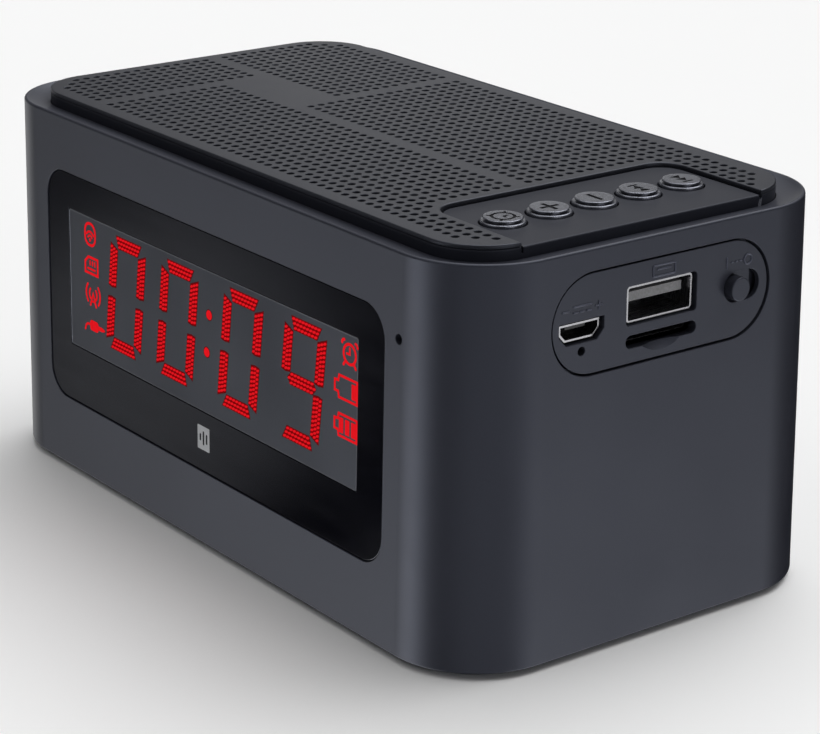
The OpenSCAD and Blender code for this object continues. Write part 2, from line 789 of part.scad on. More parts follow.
// A round cap with a small chamfer, a retaining flange and a stem; children
// are cut into its top
module key_cap(i) {
    r = key_d / 2;
    edge = 0.25;
    sign_depth = 0.15;
    color([0.12, 0.12, 0.13]) translate([key_x, i * key_pitch, 0]) difference() {
        union() {
            rod(r, key_flange_z, key_top_z - edge);
            translate([0, 0, key_top_z - edge]) cylinder(h = edge, r1 = r, r2 = r - edge);
            rod(key_flange_r, key_flange_z, key_flange_z + key_flange_t);
            rod(1.6, plunger_top, key_flange_z + tiny);
        }
        translate([0, 0, key_top_z - sign_depth]) linear_extrude(height = 1) children();
    }
}

module bar(w, h) {
    square([w, h], center = true);
}

// Two triangles and a bar, pointing along +X
module skip_sign() {
    for (x = [-1.1, 0.1]) translate([x, 0]) polygon([[-0.5, -0.8], [0.6, 0], [-0.5, 0.8]]);
    translate([1, 0]) bar(0.4, 1.6);
}

module key_alarm() {
    key_cap(-2) {
        difference() {
            circle(r = 1.9);
            circle(r = 1.5);
        }
        translate([0, 0.5]) bar(0.4, 1.2);
        translate([0.4, 0]) bar(1, 0.4);
    }
}

module key_plus() {
    key_cap(-1) {
        bar(2.8, 0.5);
        bar(0.5, 2.8);
    }
}

module key_minus() {
    key_cap(0) bar(2.8, 0.5);
}

module key_previous() {
    key_cap(1) rotate(180) skip_sign();
}

module key_next() {
    key_cap(2) skip_sign();
}

// ---- Speakers ----

module basket(x) {
    flange_r = speaker_d / 2;
    low_z = speaker_z - basket_h;
    color([0.25, 0.25, 0.26]) translate([x, 0, 0]) difference() {
        union() {
            rod(flange_r, speaker_z - basket_t, speaker_z);
            translate([0, 0, low_z]) cylinder(h = basket_h - basket_t + tiny, r1 = 13, r2 = 19.7);
        }
        translate([0, 0, low_z + 1.2]) cylinder(h = basket_h, r1 = 12, r2 = 19.6);
        rod(speaker_hole_r, speaker_z - basket_t, speaker_z + 1);
        rod(coil_r + 1.5, low_z - 1, low_z + 2);
        for (a = [45 : 90 : 315]) rotate(a) {
            translate([ear_r, 0, 0]) rod(1.1, speaker_z - basket_t - 1, speaker_z + 1);
            translate([16, 0, speaker_z - 7]) rotate([0, 90, 0]) cylinder(h = 14, r = 3, center = true);
        }
    }
}

// Ring magnet between two steel plates, with a pole piece in the coil
module magnet(x) {
    top_z = speaker_z - basket_h;
    plate_t = 2;
    color([0.2, 0.2, 0.2]) translate([x, 0, 0]) {
        difference() {
            union() {
                rod(magnet_r - 1, top_z - plate_t, top_z);
                rod(magnet_r, top_z - plate_t - magnet_h, top_z - plate_t);
                rod(magnet_r - 0.5, top_z - 2 * plate_t - magnet_h, top_z - plate_t - magnet_h);
            }
            rod(coil_r + 0.7, top_z - plate_t - magnet_h, top_z + 1);
        }
        rod(coil_r - 0.7, top_z - plate_t - magnet_h - tiny, top_z);
    }
}

// Half-round roll of rubber with a lip on the basket and a lip on the cone
module surround(x) {
    mid_r = 17.4;
    roll_r = 0.75;
    skin = 0.3;
    color([0.06, 0.06, 0.06]) translate([x, 0, speaker_z - 0.9]) rotate_extrude() {
        translate([mid_r, 0]) intersection() {
            difference() {
                circle(r = roll_r, $fn = 48);
                circle(r = roll_r - skin, $fn = 48);
            }
            translate([-roll_r - 1, 0]) square([2 * roll_r + 2, roll_r + 1]);
        }
        translate([mid_r - 1.4, -0.1]) square([0.95, 0.3]);
        translate([mid_r + 0.5, -0.3]) square([1.05, 0.4]);
    }
}

// Paper cone with its dust cap and the coil that hangs in the magnet
module cone(x) {
    top_z = speaker_z - 1;
    low_z = speaker_z - basket_h + 3;
    r = cone_d / 2 - 0.3;
    color([0.13, 0.13, 0.14]) translate([x, 0, 0]) {
        rotate_extrude() polygon([[coil_r, low_z], [r, top_z - 0.4], [r, top_z], [coil_r, low_z + 0.5]]);
        difference() {
            rod(coil_r, low_z - 6, low_z + 0.6);
            rod(coil_r - 0.3, low_z - 7, low_z + 0.2);
        }
        intersection() {
            translate([0, 0, low_z + 0.5 - 5]) sphere(r = 8.2);
            rod(coil_r, low_z + 0.5, low_z + 6);
        }
    }
}

module left_basket() { basket(left_x); }
module left_magnet() { magnet(left_x); }
module left_surround() { surround(left_x); }
module left_cone() { cone(left_x); }
module right_basket() { basket(right_x); }
module right_magnet() { magnet(right_x); }
module right_surround() { surround(right_x); }
module right_cone() { cone(right_x); }

module speaker_screws() {
    color([0.6, 0.6, 0.62]) for (x = [left_x, right_x]) for (a = [45 : 90 : 315])
        translate([x, 0, 0]) rotate(a) translate([ear_r, 0, 0])
            screw_up(speaker_z - basket_t - 1, 1.6, 1, 0.8, 3.6);
}

// ---- Battery ----

module battery_tray() {
    tray_l = cell_l + 6;
    tray_w = cell_d + 4;
    color([0.16, 0.17, 0.19]) difference() {
        translate([cell_x - tray_l / 2, cell_y - tray_w / 2, cover_top]) cube([tray_l, tray_w, 11]);
        translate([cell_x - cell_l / 2 - 0.1, cell_y, cell_z]) rotate([0, 90, 0])
            cylinder(h = cell_l + 0.2, r = cell_d / 2 + 0.1);
    }
}

module battery_cell() {
    cap_l = 1.2;
    color([0.1, 0.35, 0.6]) translate([cell_x - cell_l / 2, cell_y, cell_z]) rotate([0, 90, 0]) {
        cylinder(h = cell_l - cap_l, r = cell_d / 2);
        translate([0, 0, cell_l - cap_l - tiny]) cylinder(h = cap_l + tiny, r = 3);
    }
}

// ---- Leads ----

lead_r = 0.6;
lead_y = 16.5;

module battery_leads() {
    exit_x = cell_x + cell_l / 2 + 3;
    color([0.7, 0.08, 0.08]) for (y = [0, 3])
        wire([[exit_x + 0.3, cell_y + y, cover_top + 6], [exit_x + 8, cell_y + y - 1, cover_top + 9],
              [42, 7 + y, cover_top + 24], [44, y, main_low_z - 0.3]], lead_r);
}

module speaker_leads() {
    low_z = main_low_z - 12;
    color([0.1, 0.1, 0.1]) for (i = [0, 1]) {
        wire([[left_x - 1 + 2 * i, -lead_y, speaker_z - 8], [left_x - 1 + 2 * i, -20 + 2 * i, low_z],
              [38 - 2 * i, -19 + 2 * i, low_z + 1], [40.5, -12 + 2 * i, main_low_z - 0.4]], lead_r);
        wire([[right_x - 1 + 2 * i, lead_y, speaker_z - 8], [right_x - 1 + 2 * i, 21 - 2 * i, low_z + 2],
              [38 - 2 * i, 19 - 2 * i, low_z + 3], [40.5, 14 - 2 * i, main_low_z - 0.4]], lead_r);
    }
}

module display_ribbon() {
    back_y = -28.6;
    color([0.8, 0.8, 0.78]) {
        translate([20, back_y, main_low_z - 10]) cube([10, 0.25, 10]);
        translate([20, back_y, main_low_z - 0.25]) cube([main_x0 + 0.4 - 20, 10, 0.25]);
    }
}

module key_ribbon() {
    color([0.8, 0.8, 0.78]) {
        translate([42.6, -22.4, main_top_z]) cube([0.25, 6.4, key_board_z - main_top_z]);
        translate([42.6, -22.4, key_board_z - 0.25]) cube([3, 6.4, 0.25]);
    }
}

module antenna_wire() {
    y = core_y + corner_r - wall - 2;
    low_z = main_low_z - 5;
    color([0.1, 0.1, 0.1])
        wire([[50, main_y - 2, main_low_z - 0.3], [50.5, main_y - 1, main_low_z - 3], [46, y, low_z],
              [-54, y - 0.6, low_z - 1.6], [-63, 25, low_z - 3], [-64, -20, low_z - 5]],
             lead_r);
}

housing();
bottom_cover();
rubber_feet();
cover_screws();
top_deck();
deck_screws();
grille_plate();
grille_cloth();
display_bezel();
bezel_tape();
display_face();
display_digits();
display_icons();
display_reflector();
display_board();
display_screws();
microphone();
microphone_boot();
socket_panel();
usb_shell();
usb_tongue();
charge_shell();
charge_tongue();
card_socket();
charge_light();
slide_switch();
switch_lever();
power_knob();
main_board();
main_board_parts();
board_screws();
key_board();
key_switches();
key_alarm();
key_plus();
key_minus();
key_previous();
key_next();
plunger(-2);  // plunger_alarm
plunger(-1);  // plunger_plus
plunger(0);  // plunger_minus
plunger(1);  // plunger_previous
plunger(2);  // plunger_next
left_basket();
left_magnet();
left_surround();
left_cone();
right_basket();
right_magnet();
right_surround();
right_cone();
speaker_screws();
battery_tray();
battery_cell();
battery_leads();
speaker_leads();
display_ribbon();
key_ribbon();
antenna_wire();
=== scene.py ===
"""Looks of the table clock radio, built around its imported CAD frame.

Lengths are written in millimetres and turned into metres when a mesh is made.
X runs to the right along the front, -Y is the front and Z is up from the table.
"""

import json
import math

import bmesh
import bpy
from mathutils import Matrix, Vector
from mathutils.geometry import delaunay_2d_cdt


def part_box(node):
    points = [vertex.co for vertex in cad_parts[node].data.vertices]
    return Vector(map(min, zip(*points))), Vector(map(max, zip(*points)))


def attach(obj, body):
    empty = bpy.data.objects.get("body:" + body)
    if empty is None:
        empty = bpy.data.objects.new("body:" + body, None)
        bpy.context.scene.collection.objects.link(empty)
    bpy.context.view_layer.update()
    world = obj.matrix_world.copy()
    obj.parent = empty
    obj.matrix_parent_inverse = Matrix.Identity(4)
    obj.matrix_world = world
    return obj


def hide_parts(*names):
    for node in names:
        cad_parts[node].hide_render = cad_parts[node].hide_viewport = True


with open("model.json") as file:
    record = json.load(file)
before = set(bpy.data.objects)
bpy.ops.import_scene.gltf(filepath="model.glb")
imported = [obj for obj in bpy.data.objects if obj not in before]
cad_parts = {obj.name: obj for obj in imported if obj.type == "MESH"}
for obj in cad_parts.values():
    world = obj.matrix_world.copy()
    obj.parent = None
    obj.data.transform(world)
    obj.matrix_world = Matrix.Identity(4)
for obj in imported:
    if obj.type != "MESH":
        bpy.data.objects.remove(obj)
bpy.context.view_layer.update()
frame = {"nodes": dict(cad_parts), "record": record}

MM = 0.001  # metres


def box_mm(node):
    """Lowest and highest corner of a CAD node, in millimetres."""
    low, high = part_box(node)
    return low / MM, high / MM


# ---- Sizes, from the frame and from the shape of the body ----

HOUSING_LOW, HOUSING_HIGH = box_mm("housing")
DECK_HIGH = box_mm("top_deck")[1]

UNDER_Z = HOUSING_LOW.z
RIM_Z = HOUSING_HIGH.z
DRAFT = 1.0  # how far a wall leans out from the rim to the underside
CORNER_R = 14.6  # radius of the upright corners at the rim
CORE_X = HOUSING_HIGH.x - DRAFT - CORNER_R  # where their axes stand
CORE_Y = HOUSING_HIGH.y - DRAFT - CORNER_R
WALL = 2.4
LEAN = math.atan(DRAFT / (RIM_Z - UNDER_Z))

DECK_Z = DECK_HIGH.z
DECK_R = DECK_HIGH.x - CORE_X
DECK_SEAT = DECK_Z - 5.2  # underside of the deck, on the housing's ledge
DECK_FIT = 0.15  # gap round the deck
GRILLE_Z = box_mm("grille_plate")[1].z
GUTTER_Z = RIM_Z - 1.0  # bottom of the gutter round the deck

FIELD_X = 41.6  # left edge of the key field
FIELD_Y = 24.05  # half its length
FIELD_MID = 0.35  # its middle, along Y
FIELD_R = 4.5  # its inner corners

KEYS = ["alarm", "plus", "minus", "previous", "next"]


def shift(x, y, z):
    """Matrix that moves by so much along each axis."""
    return Matrix.Translation((x, y, z))


def spread(z):
    """How much further out than at the rim a wall is at height z."""
    return DRAFT * (RIM_Z - z) / (RIM_Z - UNDER_Z)


def front_frame(z):
    """Matrix from the leaning front wall (right, up, out) to the frame."""
    place = shift(0, -(CORE_Y + CORNER_R + spread(z)), z)
    return place @ Matrix.Rotation(math.radians(90) - LEAN, 4, "X")


def right_frame(z):
    """The same for the right wall, with its first axis towards the back."""
    place = shift(CORE_X + CORNER_R + spread(z), 0, z)
    turn = Matrix.Rotation(math.radians(90), 4, "Z")
    return place @ turn @ Matrix.Rotation(math.radians(90) - LEAN, 4, "X")


# ---- Mesh tools ----

WELD = 1e-7  # metres
TINY = 0.001  # smallest radius, and what a fully round end keeps straight


class Shape:
    """Vertices and faces in millimetres, with a material number per face."""

    def __init__(self):
        self.points = []
        self.faces = []
        self.paint = []

    def add(self, points, faces, paint=0):
        """Adds faces that number the given points from 0."""
        start = len(self.points)
        self.points += [tuple(p) for p in points]
        self.faces += [tuple(start + i for i in f) for f in faces]
        self.paint += [paint] * len(faces)
        return self

    def loft(self, rings, close=False, low_cap=False, high_cap=False, paint=0):
        """Skin over rings that have the same number of points."""
        n = len(rings[0])
        points = [p for ring in rings for p in ring]
        pairs = len(rings) if close else len(rings) - 1
        faces = []
        for k in range(pairs):
            a, b = k * n, (k + 1) % len(rings) * n
            faces += [(a + i, a + (i + 1) % n, b + (i + 1) % n, b + i) for i in range(n)]
        if low_cap:
            faces.append(tuple(reversed(range(n))))
        if high_cap:
            faces.append(tuple(range((len(rings) - 1) * n, len(rings) * n)))
        return self.add(points, faces, paint)

    def moved(self, matrix):
        self.points = [tuple(matrix @ Vector(p)) for p in self.points]
        return self

    def join(self, other):
        """Adds a whole shape, with its own material numbers."""
        start = len(self.points)
        self.points += other.points
        self.faces += [tuple(start + i for i in f) for f in other.faces]
        self.paint += other.paint
        return self

    def painted(self, paint):
        self.paint = [paint] * len(self.faces)
        return self

    def mesh(self, name, materials):
        """The shape as an object: welded, with no loose points, facing outwards."""
        data = bpy.data.meshes.new(name)
        data.from_pydata([[c * MM for c in p] for p in self.points], [], self.faces)
        for m in materials:
            data.materials.append(m)
        data.polygons.foreach_set("material_index", self.paint)
        mend = bmesh.new()
        mend.from_mesh(data)
        bmesh.ops.remove_doubles(mend, verts=mend.verts, dist=WELD)
        loose = [v for v in mend.verts if not v.link_faces]
        bmesh.ops.delete(mend, geom=loose, context="VERTS")
        bmesh.ops.recalc_face_normals(mend, faces=mend.faces)
        mend.to_mesh(data)
        mend.free()
        made = bpy.data.objects.new(name, data)
        bpy.context.scene.collection.objects.link(made)
        return made


def arc(cx, cy, r, start, stop, steps=5):
    """Points of an arc in degrees, both ends included."""
    angles = [math.radians(start + (stop - start) * k / steps) for k in range(steps + 1)]
    return [(cx + r * math.cos(a), cy + r * math.sin(a)) for a in angles]


def rounded(w, h, r, grow=0.0, steps=8):
    """Outline of a rectangle with round corners, grown by an offset."""
    x, y, r = w / 2 - r, h / 2 - r, max(r + grow, TINY)
    return (
        arc(x, y, r, 0, 90, steps)
        + arc(-x, y, r, 90, 180, steps)
        + arc(-x, -y, r, 180, 270, steps)
        + arc(x, -y, r, 270, 360, steps)
    )


def body_ring(r, z):
    """Outline of the body at radius r about its corner axes."""
    return [(x, y, z) for x, y in rounded(2 * (CORE_X + r), 2 * (CORE_Y + r), r, steps=20)]


def circle(r, count):
    """Outline of a circle about the origin."""
    turns = [2 * math.pi * k / count for k in range(count)]
    return [(r * math.cos(a), r * math.sin(a)) for a in turns]


def soft_edge(front, edge, steps):
    """Levels (growth, height) up a rounded edge that ends flush with the front."""
    turns = [math.radians(90 * k / steps) for k in range(steps + 1)]
    return [(-edge * (1 - math.cos(a)), front - edge * (1 - math.sin(a))) for a in turns]


def tower(outline_at, levels):
    """Closed solid through levels (growth, height), along local Z.
    outline_at gives the outline grown by an offset."""
    rings = [[(x, y, z) for x, y in outline_at(grow)] for grow, z in levels]
    return Shape().loft(rings, low_cap=True, high_cap=True)


def prism(outline, low, high):
    """Straight solid over an outline, along local Z."""
    return tower(lambda _: outline, [(0, low), (0, high)])


def turned(profile, count):
    """Closed solid turned about local Z, for a profile of (radius, height)."""
    return tower(lambda r: circle(r, count), profile)


def pocket(outline_at, depth, edge):
    """Cutter for a pocket whose mouth at local z = 0 has a rounded edge, under a
    straight flare. outline_at gives the outline grown by an offset."""
    steps, first, flare = 4, 20.0, 0.6
    start = math.radians(first)
    low, drop = edge * (1 - math.sin(start)), edge * (1 - math.cos(start))
    levels = [(low + flare / math.tan(start), flare - drop)]
    for k in range(steps + 1):
        a = math.radians(first + (90 - first) * k / steps)
        levels.append((edge * (1 - math.sin(a)), -edge * (1 - math.cos(a))))
    return tower(outline_at, levels + [(0.0, -depth)])


def settle(made, sharp=32.0):
    """Applies an object's modifiers, then shades it smooth between sharp edges."""
    bpy.context.view_layer.update()
    seen = made.evaluated_get(bpy.context.evaluated_depsgraph_get())
    data = bpy.data.meshes.new_from_object(seen)
    old = made.data
    made.modifiers.clear()
    made.data = data
    bpy.data.meshes.remove(old)
    data.polygons.foreach_set("use_smooth", [True] * len(data.polygons))
    data.set_sharp_from_angle(angle=math.radians(sharp))
    even = made.modifiers.new("even normals", "WEIGHTED_NORMAL")
    even.keep_sharp = True
    even.weight = 80
    return made


def carve(made, cutters, added=()):
    """Joins shapes onto an object, then cuts others out of it."""
    jobs = [("UNION", shape) for shape in added] + [("DIFFERENCE", shape) for shape in cutters]
    tools = []
    for k, (operation, shape) in enumerate(jobs):
        tools.append(shape.mesh(f"tool_{k}", list(made.data.materials)))
        step = made.modifiers.new(f"step {k}", "BOOLEAN")
        step.object, step.operation, step.solver = tools[-1], operation, "EXACT"
    settle(made)
    for tool in tools:
        bpy.data.objects.remove(tool)
    return made


def piece(made, body, nodes):
    """Places a finished piece on its body, in for the CAD nodes that it stands for."""
    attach(made, body)
    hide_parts(*nodes)
    return made


def bead(path, width, height, closed=False):
    """Raised line with a round section along flat points, in local X and Y."""
    half, sharpest, longest = width / 2, 0.5, 1.6
    turns = [math.radians(a) for a in range(180, -1, -30)]
    section = [(half * math.cos(a), height * math.sin(a)) for a in turns]

    def ring(x, y, side, wide, tall=1.0):
        return [(x - side.x * u * wide, y - side.y * u * wide, v * tall) for u, v in section]

    def cap(x, y, side, along, sign):
        """Rings that round off an end, from the line outwards."""
        rings = []
        for a in (math.radians(d) for d in (30, 60, 85)):
            out, grow = half * math.sin(a) * sign, math.cos(a)
            rings.append(ring(x + along.x * out, y + along.y * out, side, grow, grow))
        return rings

    skins, first, last = [], [], []
    for i, (x, y) in enumerate(path):
        here = Vector((x, y))
        legs = []
        if closed or i > 0:
            legs.append((here - Vector(path[i - 1])).normalized())
        if closed or i < len(path) - 1:
            legs.append((Vector(path[(i + 1) % len(path)]) - here).normalized())
        along = sum(legs, Vector((0, 0))).normalized()
        side = Vector((-along.y, along.x))
        skins.append(ring(x, y, side, min(1 / max(along.dot(legs[0]), sharpest), longest)))
        if not closed and i == 0:
            first = cap(x, y, side, along, -1)[::-1]
        if not closed and i == len(path) - 1:
            last = cap(x, y, side, along, 1)
    ends = not closed
    return Shape().loft(first + skins + last, close=closed, low_cap=ends, high_cap=ends)


# ---- Materials ----


class Nodes:
    """Short names for building a material's nodes."""

    START, STOP = 0.3, 0.7  # the stretch of a noise's values that is used

    def __init__(self, name):
        self.material = bpy.data.materials.new(name)
        self.material.use_nodes = True
        self.tree = self.material.node_tree
        self.shader = self.tree.nodes["Principled BSDF"]
        self.place = self.tree.nodes.new("ShaderNodeTexCoord").outputs["Object"]

    def link(self, a, b):
        self.tree.links.new(a, b)

    def noise(self, scale, detail=3.0, rough=0.55, stretch=None):
        """Noise over the object, finer along an axis that is stretched."""
        at = self.place
        if stretch:
            mapping = self.tree.nodes.new("ShaderNodeMapping")
            mapping.inputs["Scale"].default_value = stretch
            self.link(at, mapping.inputs["Vector"])
            at = mapping.outputs["Vector"]
        tex = self.tree.nodes.new("ShaderNodeTexNoise")
        tex.inputs["Scale"].default_value = scale
        tex.inputs["Detail"].default_value = detail
        tex.inputs["Roughness"].default_value = rough
        self.link(at, tex.inputs["Vector"])
        return tex.outputs["Fac"]

    def spread(self, value, low, high):
        """A number that goes from low to high with a noise."""
        remap = self.tree.nodes.new("ShaderNodeMapRange")
        remap.inputs["From Min"].default_value = self.START
        remap.inputs["From Max"].default_value = self.STOP
        remap.inputs["To Min"].default_value = low
        remap.inputs["To Max"].default_value = high
        self.link(value, remap.inputs["Value"])
        return remap.outputs["Result"]

    def ramp(self, value, low, high):
        """The same for a colour."""
        ramp = self.tree.nodes.new("ShaderNodeValToRGB")
        ramp.color_ramp.elements[0].position = self.START
        ramp.color_ramp.elements[1].position = self.STOP
        ramp.color_ramp.elements[0].color = (*low, 1)
        ramp.color_ramp.elements[1].color = (*high, 1)
        self.link(value, ramp.inputs["Fac"])
        return ramp.outputs["Color"]

    def bump(self, height, depth):
        """Normals of a relief that is depth metres high."""
        bump = self.tree.nodes.new("ShaderNodeBump")
        bump.inputs["Strength"].default_value = 1.0
        bump.inputs["Distance"].default_value = depth
        self.link(height, bump.inputs["Height"])
        return bump.outputs["Normal"]


def shade(color, factor):
    """The colour, darker or brighter."""
    return tuple(min(c * factor, 1.0) for c in color)


def moulded(
    name, color, rough, grain=5200, depth=6e-6, vary=0.18, metal=0.0, specular=0.5, tint=None
):
    """Moulded, painted or plated surface: fine grain with a slow drift in tone."""
    n = Nodes(name)
    fine = n.noise(grain, 2.0, 0.6)
    slow = n.noise(45, 3.0)
    base = n.ramp(fine, shade(color, 1 - vary), shade(color, 1 + vary))
    mix = n.tree.nodes.new("ShaderNodeMix")
    mix.data_type, mix.blend_type = "RGBA", "MULTIPLY"
    mix.inputs["Factor"].default_value = 1.0
    n.link(base, mix.inputs["A"])
    n.link(n.ramp(slow, (0.94,) * 3, (1.0,) * 3), mix.inputs["B"])
    n.link(mix.outputs["Result"], n.shader.inputs["Base Color"])
    n.link(n.spread(slow, rough - 0.03, rough + 0.03), n.shader.inputs["Roughness"])
    n.link(n.bump(fine, depth), n.shader.inputs["Normal"])
    n.shader.inputs["Metallic"].default_value = metal
    n.shader.inputs["Specular IOR Level"].default_value = specular
    if tint:
        n.shader.inputs["Specular Tint"].default_value = (*tint, 1)
    return n.material


def glossy(name, color, rough, tint=(1, 1, 1)):
    """Polished plastic: faint orange peel and wiping marks."""
    n = Nodes(name)
    peel = n.noise(420, 2.0)
    wipes = n.noise(60, 4.0, 0.6, (1, 1, 6))
    drift = n.noise(30)
    n.link(n.ramp(drift, shade(color, 0.85), shade(color, 1.15)), n.shader.inputs["Base Color"])
    n.link(n.spread(wipes, rough, rough + 0.06), n.shader.inputs["Roughness"])
    n.link(n.bump(peel, 1.5e-6), n.shader.inputs["Normal"])
    n.shader.inputs["Specular Tint"].default_value = (*tint, 1)
    return n.material


def glowing(name, color, unlit):
    """Lamp behind a diffuser."""
    n = Nodes(name)
    flicker = n.noise(1500, 2.0)
    n.link(n.ramp(flicker, shade(color, 0.93), color), n.shader.inputs["Emission Color"])
    n.shader.inputs["Emission Strength"].default_value = 1.0
    n.link(n.ramp(flicker, shade(unlit, 0.9), unlit), n.shader.inputs["Base Color"])
    n.link(n.spread(flicker, 0.4, 0.5), n.shader.inputs["Roughness"])
    n.link(n.bump(flicker, 2e-6), n.shader.inputs["Normal"])
    n.shader.inputs["Specular IOR Level"].default_value = 0.0
    return n.material


def brushed(name, color, rough):
    """Rolled or plated sheet metal with fine lines."""
    n = Nodes(name)
    lines = n.noise(300, 3.0, 0.6, (40, 1, 1))
    n.link(n.ramp(lines, shade(color, 0.8), shade(color, 1.1)), n.shader.inputs["Base Color"])
    n.link(n.spread(lines, rough - 0.06, rough + 0.08), n.shader.inputs["Roughness"])
    n.link(n.bump(lines, 3e-6), n.shader.inputs["Normal"])
    n.shader.inputs["Metallic"].default_value = 1.0
    return n.material


CHARCOAL = (0.0225, 0.0236, 0.0325)
COOL = (0.74, 0.80, 1.0)  # blue cast of the lacquer's shine
shell_plastic = moulded("shell plastic", CHARCOAL, 0.45, 6500, 5e-6, 0.1, tint=COOL)
# painted shade: the deck is a darker, less shiny copy of the shell's charcoal so that its lit top reads
# darker
deck_plastic_painted_shade = moulded("deck plastic painted shade", shade(CHARCOAL, 0.7), 0.5, 6500, 5e-6, 0.1, 0.0, 0.3, COOL)
panel_plastic = moulded("panel plastic", shade(CHARCOAL, 0.9), 0.42, 6500, 4e-6, 0.08, tint=COOL)
# painted highlight: the raised signs are a lighter grey than the panel so that they read as lit at
# their tops
sign_plastic_painted_highlight = moulded("raised sign painted highlight", shade(CHARCOAL, 2.6), 0.35, 6500, 4e-6, 0.08, tint=COOL)
cover_plastic = moulded("cover plastic", shade(CHARCOAL, 0.7), 0.6, grain=3500, depth=2e-5)
grille_paint = moulded("grille paint", (0.018, 0.0186, 0.023), 0.4, 4200, 1.4e-5, 0.3, tint=COOL)
key_metal = moulded("key lacquer", (0.22, 0.228, 0.265), 0.27, 5200, 1.2e-5, 0.45, metal=0.9)
key_ink = moulded("key sign ink", (0.006, 0.006, 0.008), 0.6, 5200, 4e-6, specular=0.1)
bezel_gloss = glossy("bezel gloss", (0.004, 0.004, 0.0065), 0.05, tint=COOL)
film_grey = moulded("display film", (0.034, 0.037, 0.046), 0.32, 2600, 2e-6, 0.05, tint=COOL)
# painted highlight: the film's bevelled border is a lighter grey so that it reads as a lit chamfer
film_edge_painted_highlight = moulded("display film painted edge highlight", (0.11, 0.115, 0.13), 0.3, 2600, 2e-6, 0.05, tint=COOL)
mark_ink = moulded("face mark", (0.50, 0.51, 0.53), 0.45, grain=2600, depth=2e-6, vary=0.05)
# painted glow: a faint red band that shines round each lit stroke, on the film where there is no lamp
halo_painted_glow = glowing("painted lamp halo", (0.085, 0.004, 0.006), (0.02, 0.004, 0.004))
digit_glow = glowing("digit glow", (0.19, 0.001, 0.002), (0.01, 0.001, 0.001))
lamp_glow = glowing("lamp glow", (0.74, 0.008, 0.014), (0.01, 0.001, 0.001))
rubber = moulded("rubber", (0.018, 0.018, 0.018), 0.8, grain=1800, depth=2.5e-5, specular=0.3)
steel = brushed("plated steel", (0.62, 0.62, 0.63), 0.28)
socket_steel = brushed("socket steel", (0.40, 0.40, 0.42), 0.25)
white_plastic = moulded("white plastic", (0.62, 0.62, 0.60), 0.45, 2500, 8e-6, 0.06)
black_plastic = moulded("black plastic", (0.02, 0.02, 0.021), 0.45, grain=3000, depth=8e-6)
board_green = moulded("solder mask", (0.02, 0.11, 0.05), 0.35, grain=900, depth=1.2e-5, vary=0.25)
basket_paint = moulded("basket paint", (0.03, 0.03, 0.032), 0.4, grain=2400, depth=1e-5, metal=0.3)
magnet_zinc = moulded("magnet zinc", (0.16, 0.16, 0.17), 0.4, grain=1500, depth=1.5e-5, metal=0.6)
paper = moulded("pressed paper", (0.035, 0.035, 0.037), 0.75, grain=1400, depth=4e-5, vary=0.35)
cloth = moulded("speaker cloth", (0.012, 0.012, 0.012), 0.9, grain=2600, depth=5e-5, vary=0.4)
sleeve = glossy("cell sleeve", (0.03, 0.14, 0.36), 0.2)
red_wire = moulded("red wire", (0.42, 0.02, 0.02), 0.5, grain=1500, depth=8e-6)
black_wire = moulded("black wire", (0.02, 0.02, 0.02), 0.5, grain=1500, depth=8e-6)
ribbon_film = moulded("ribbon film", (0.5, 0.5, 0.48), 0.4, grain=1200, depth=8e-6, vary=0.08)
amber = glossy("status lens", (0.75, 0.6, 0.2), 0.15)
tongue_grey = moulded("tongue plastic", (0.20, 0.20, 0.21), 0.4, grain=2500, depth=8e-6)

# The materials of the CAD nodes that are shown as they are
SLOT_LOOKS = {
    "housing": shell_plastic,
    "bottom": cover_plastic,
    "feet": rubber,
    "steel": steel,
    "deck": deck_plastic_painted_shade,
    "grille": grille_paint,
    "cloth": cloth,
    "bezel": bezel_gloss,
    "tape": rubber,
    "face": film_grey,
    "lit": digit_glow,
    "white_plastic": white_plastic,
    "board": board_green,
    "black_plastic": black_plastic,
    "panel": panel_plastic,
    "socket_metal": socket_steel,
    "key": key_metal,
    "magnet": magnet_zinc,
    "basket": basket_paint,
    "surround": rubber,
    "cone": paper,
    "cell": sleeve,
    "red_wire": red_wire,
    "black_wire": black_wire,
    "ribbon": ribbon_film,
    "light": amber,
}
NODE_LOOKS = {"usb_tongue": tongue_grey}
SLOT_OF = {s["node"]: s["material_slot"] for s in frame["record"]["subparts"]}
for name, node in frame["nodes"].items():
    node.data.materials.clear()
    node.data.materials.append(NODE_LOOKS.get(name, SLOT_LOOKS[SLOT_OF[name]]))
    node.data.polygons.foreach_set("use_smooth", [True] * len(node.data.polygons))
    node.data.set_sharp_from_angle(angle=math.radians(30))

# ---- Housing ----

# Width, height, corner radius and middle height of the window and of the display in it
WINDOW_W, WINDOW_H, WINDOW_R, WINDOW_Z = 100.6, 42.0, 5.4, UNDER_Z + 33.9
FACE_W, FACE_H, FACE_Z = 86.6, 25.0, UNDER_Z + 36.0
POCKET_T = 1.9  # depth of the window's pocket and of the panel's
MIC_X, MIC_Z, MIC_R = 53.6, UNDER_Z + 51.2, 0.8
# Length, height and middle of the socket panel, which stands a little back in its pocket
PANEL_W, PANEL_H, PANEL_Y, PANEL_Z = 44.0, 16.3, 0.35, UNDER_Z + 52.95
PANEL_RECESS, PANEL_T, PANEL_GAP = 0.25, 1.55, 0.35
LEDGE_R, LEDGE_T = DECK_R - 3.9, 2.0


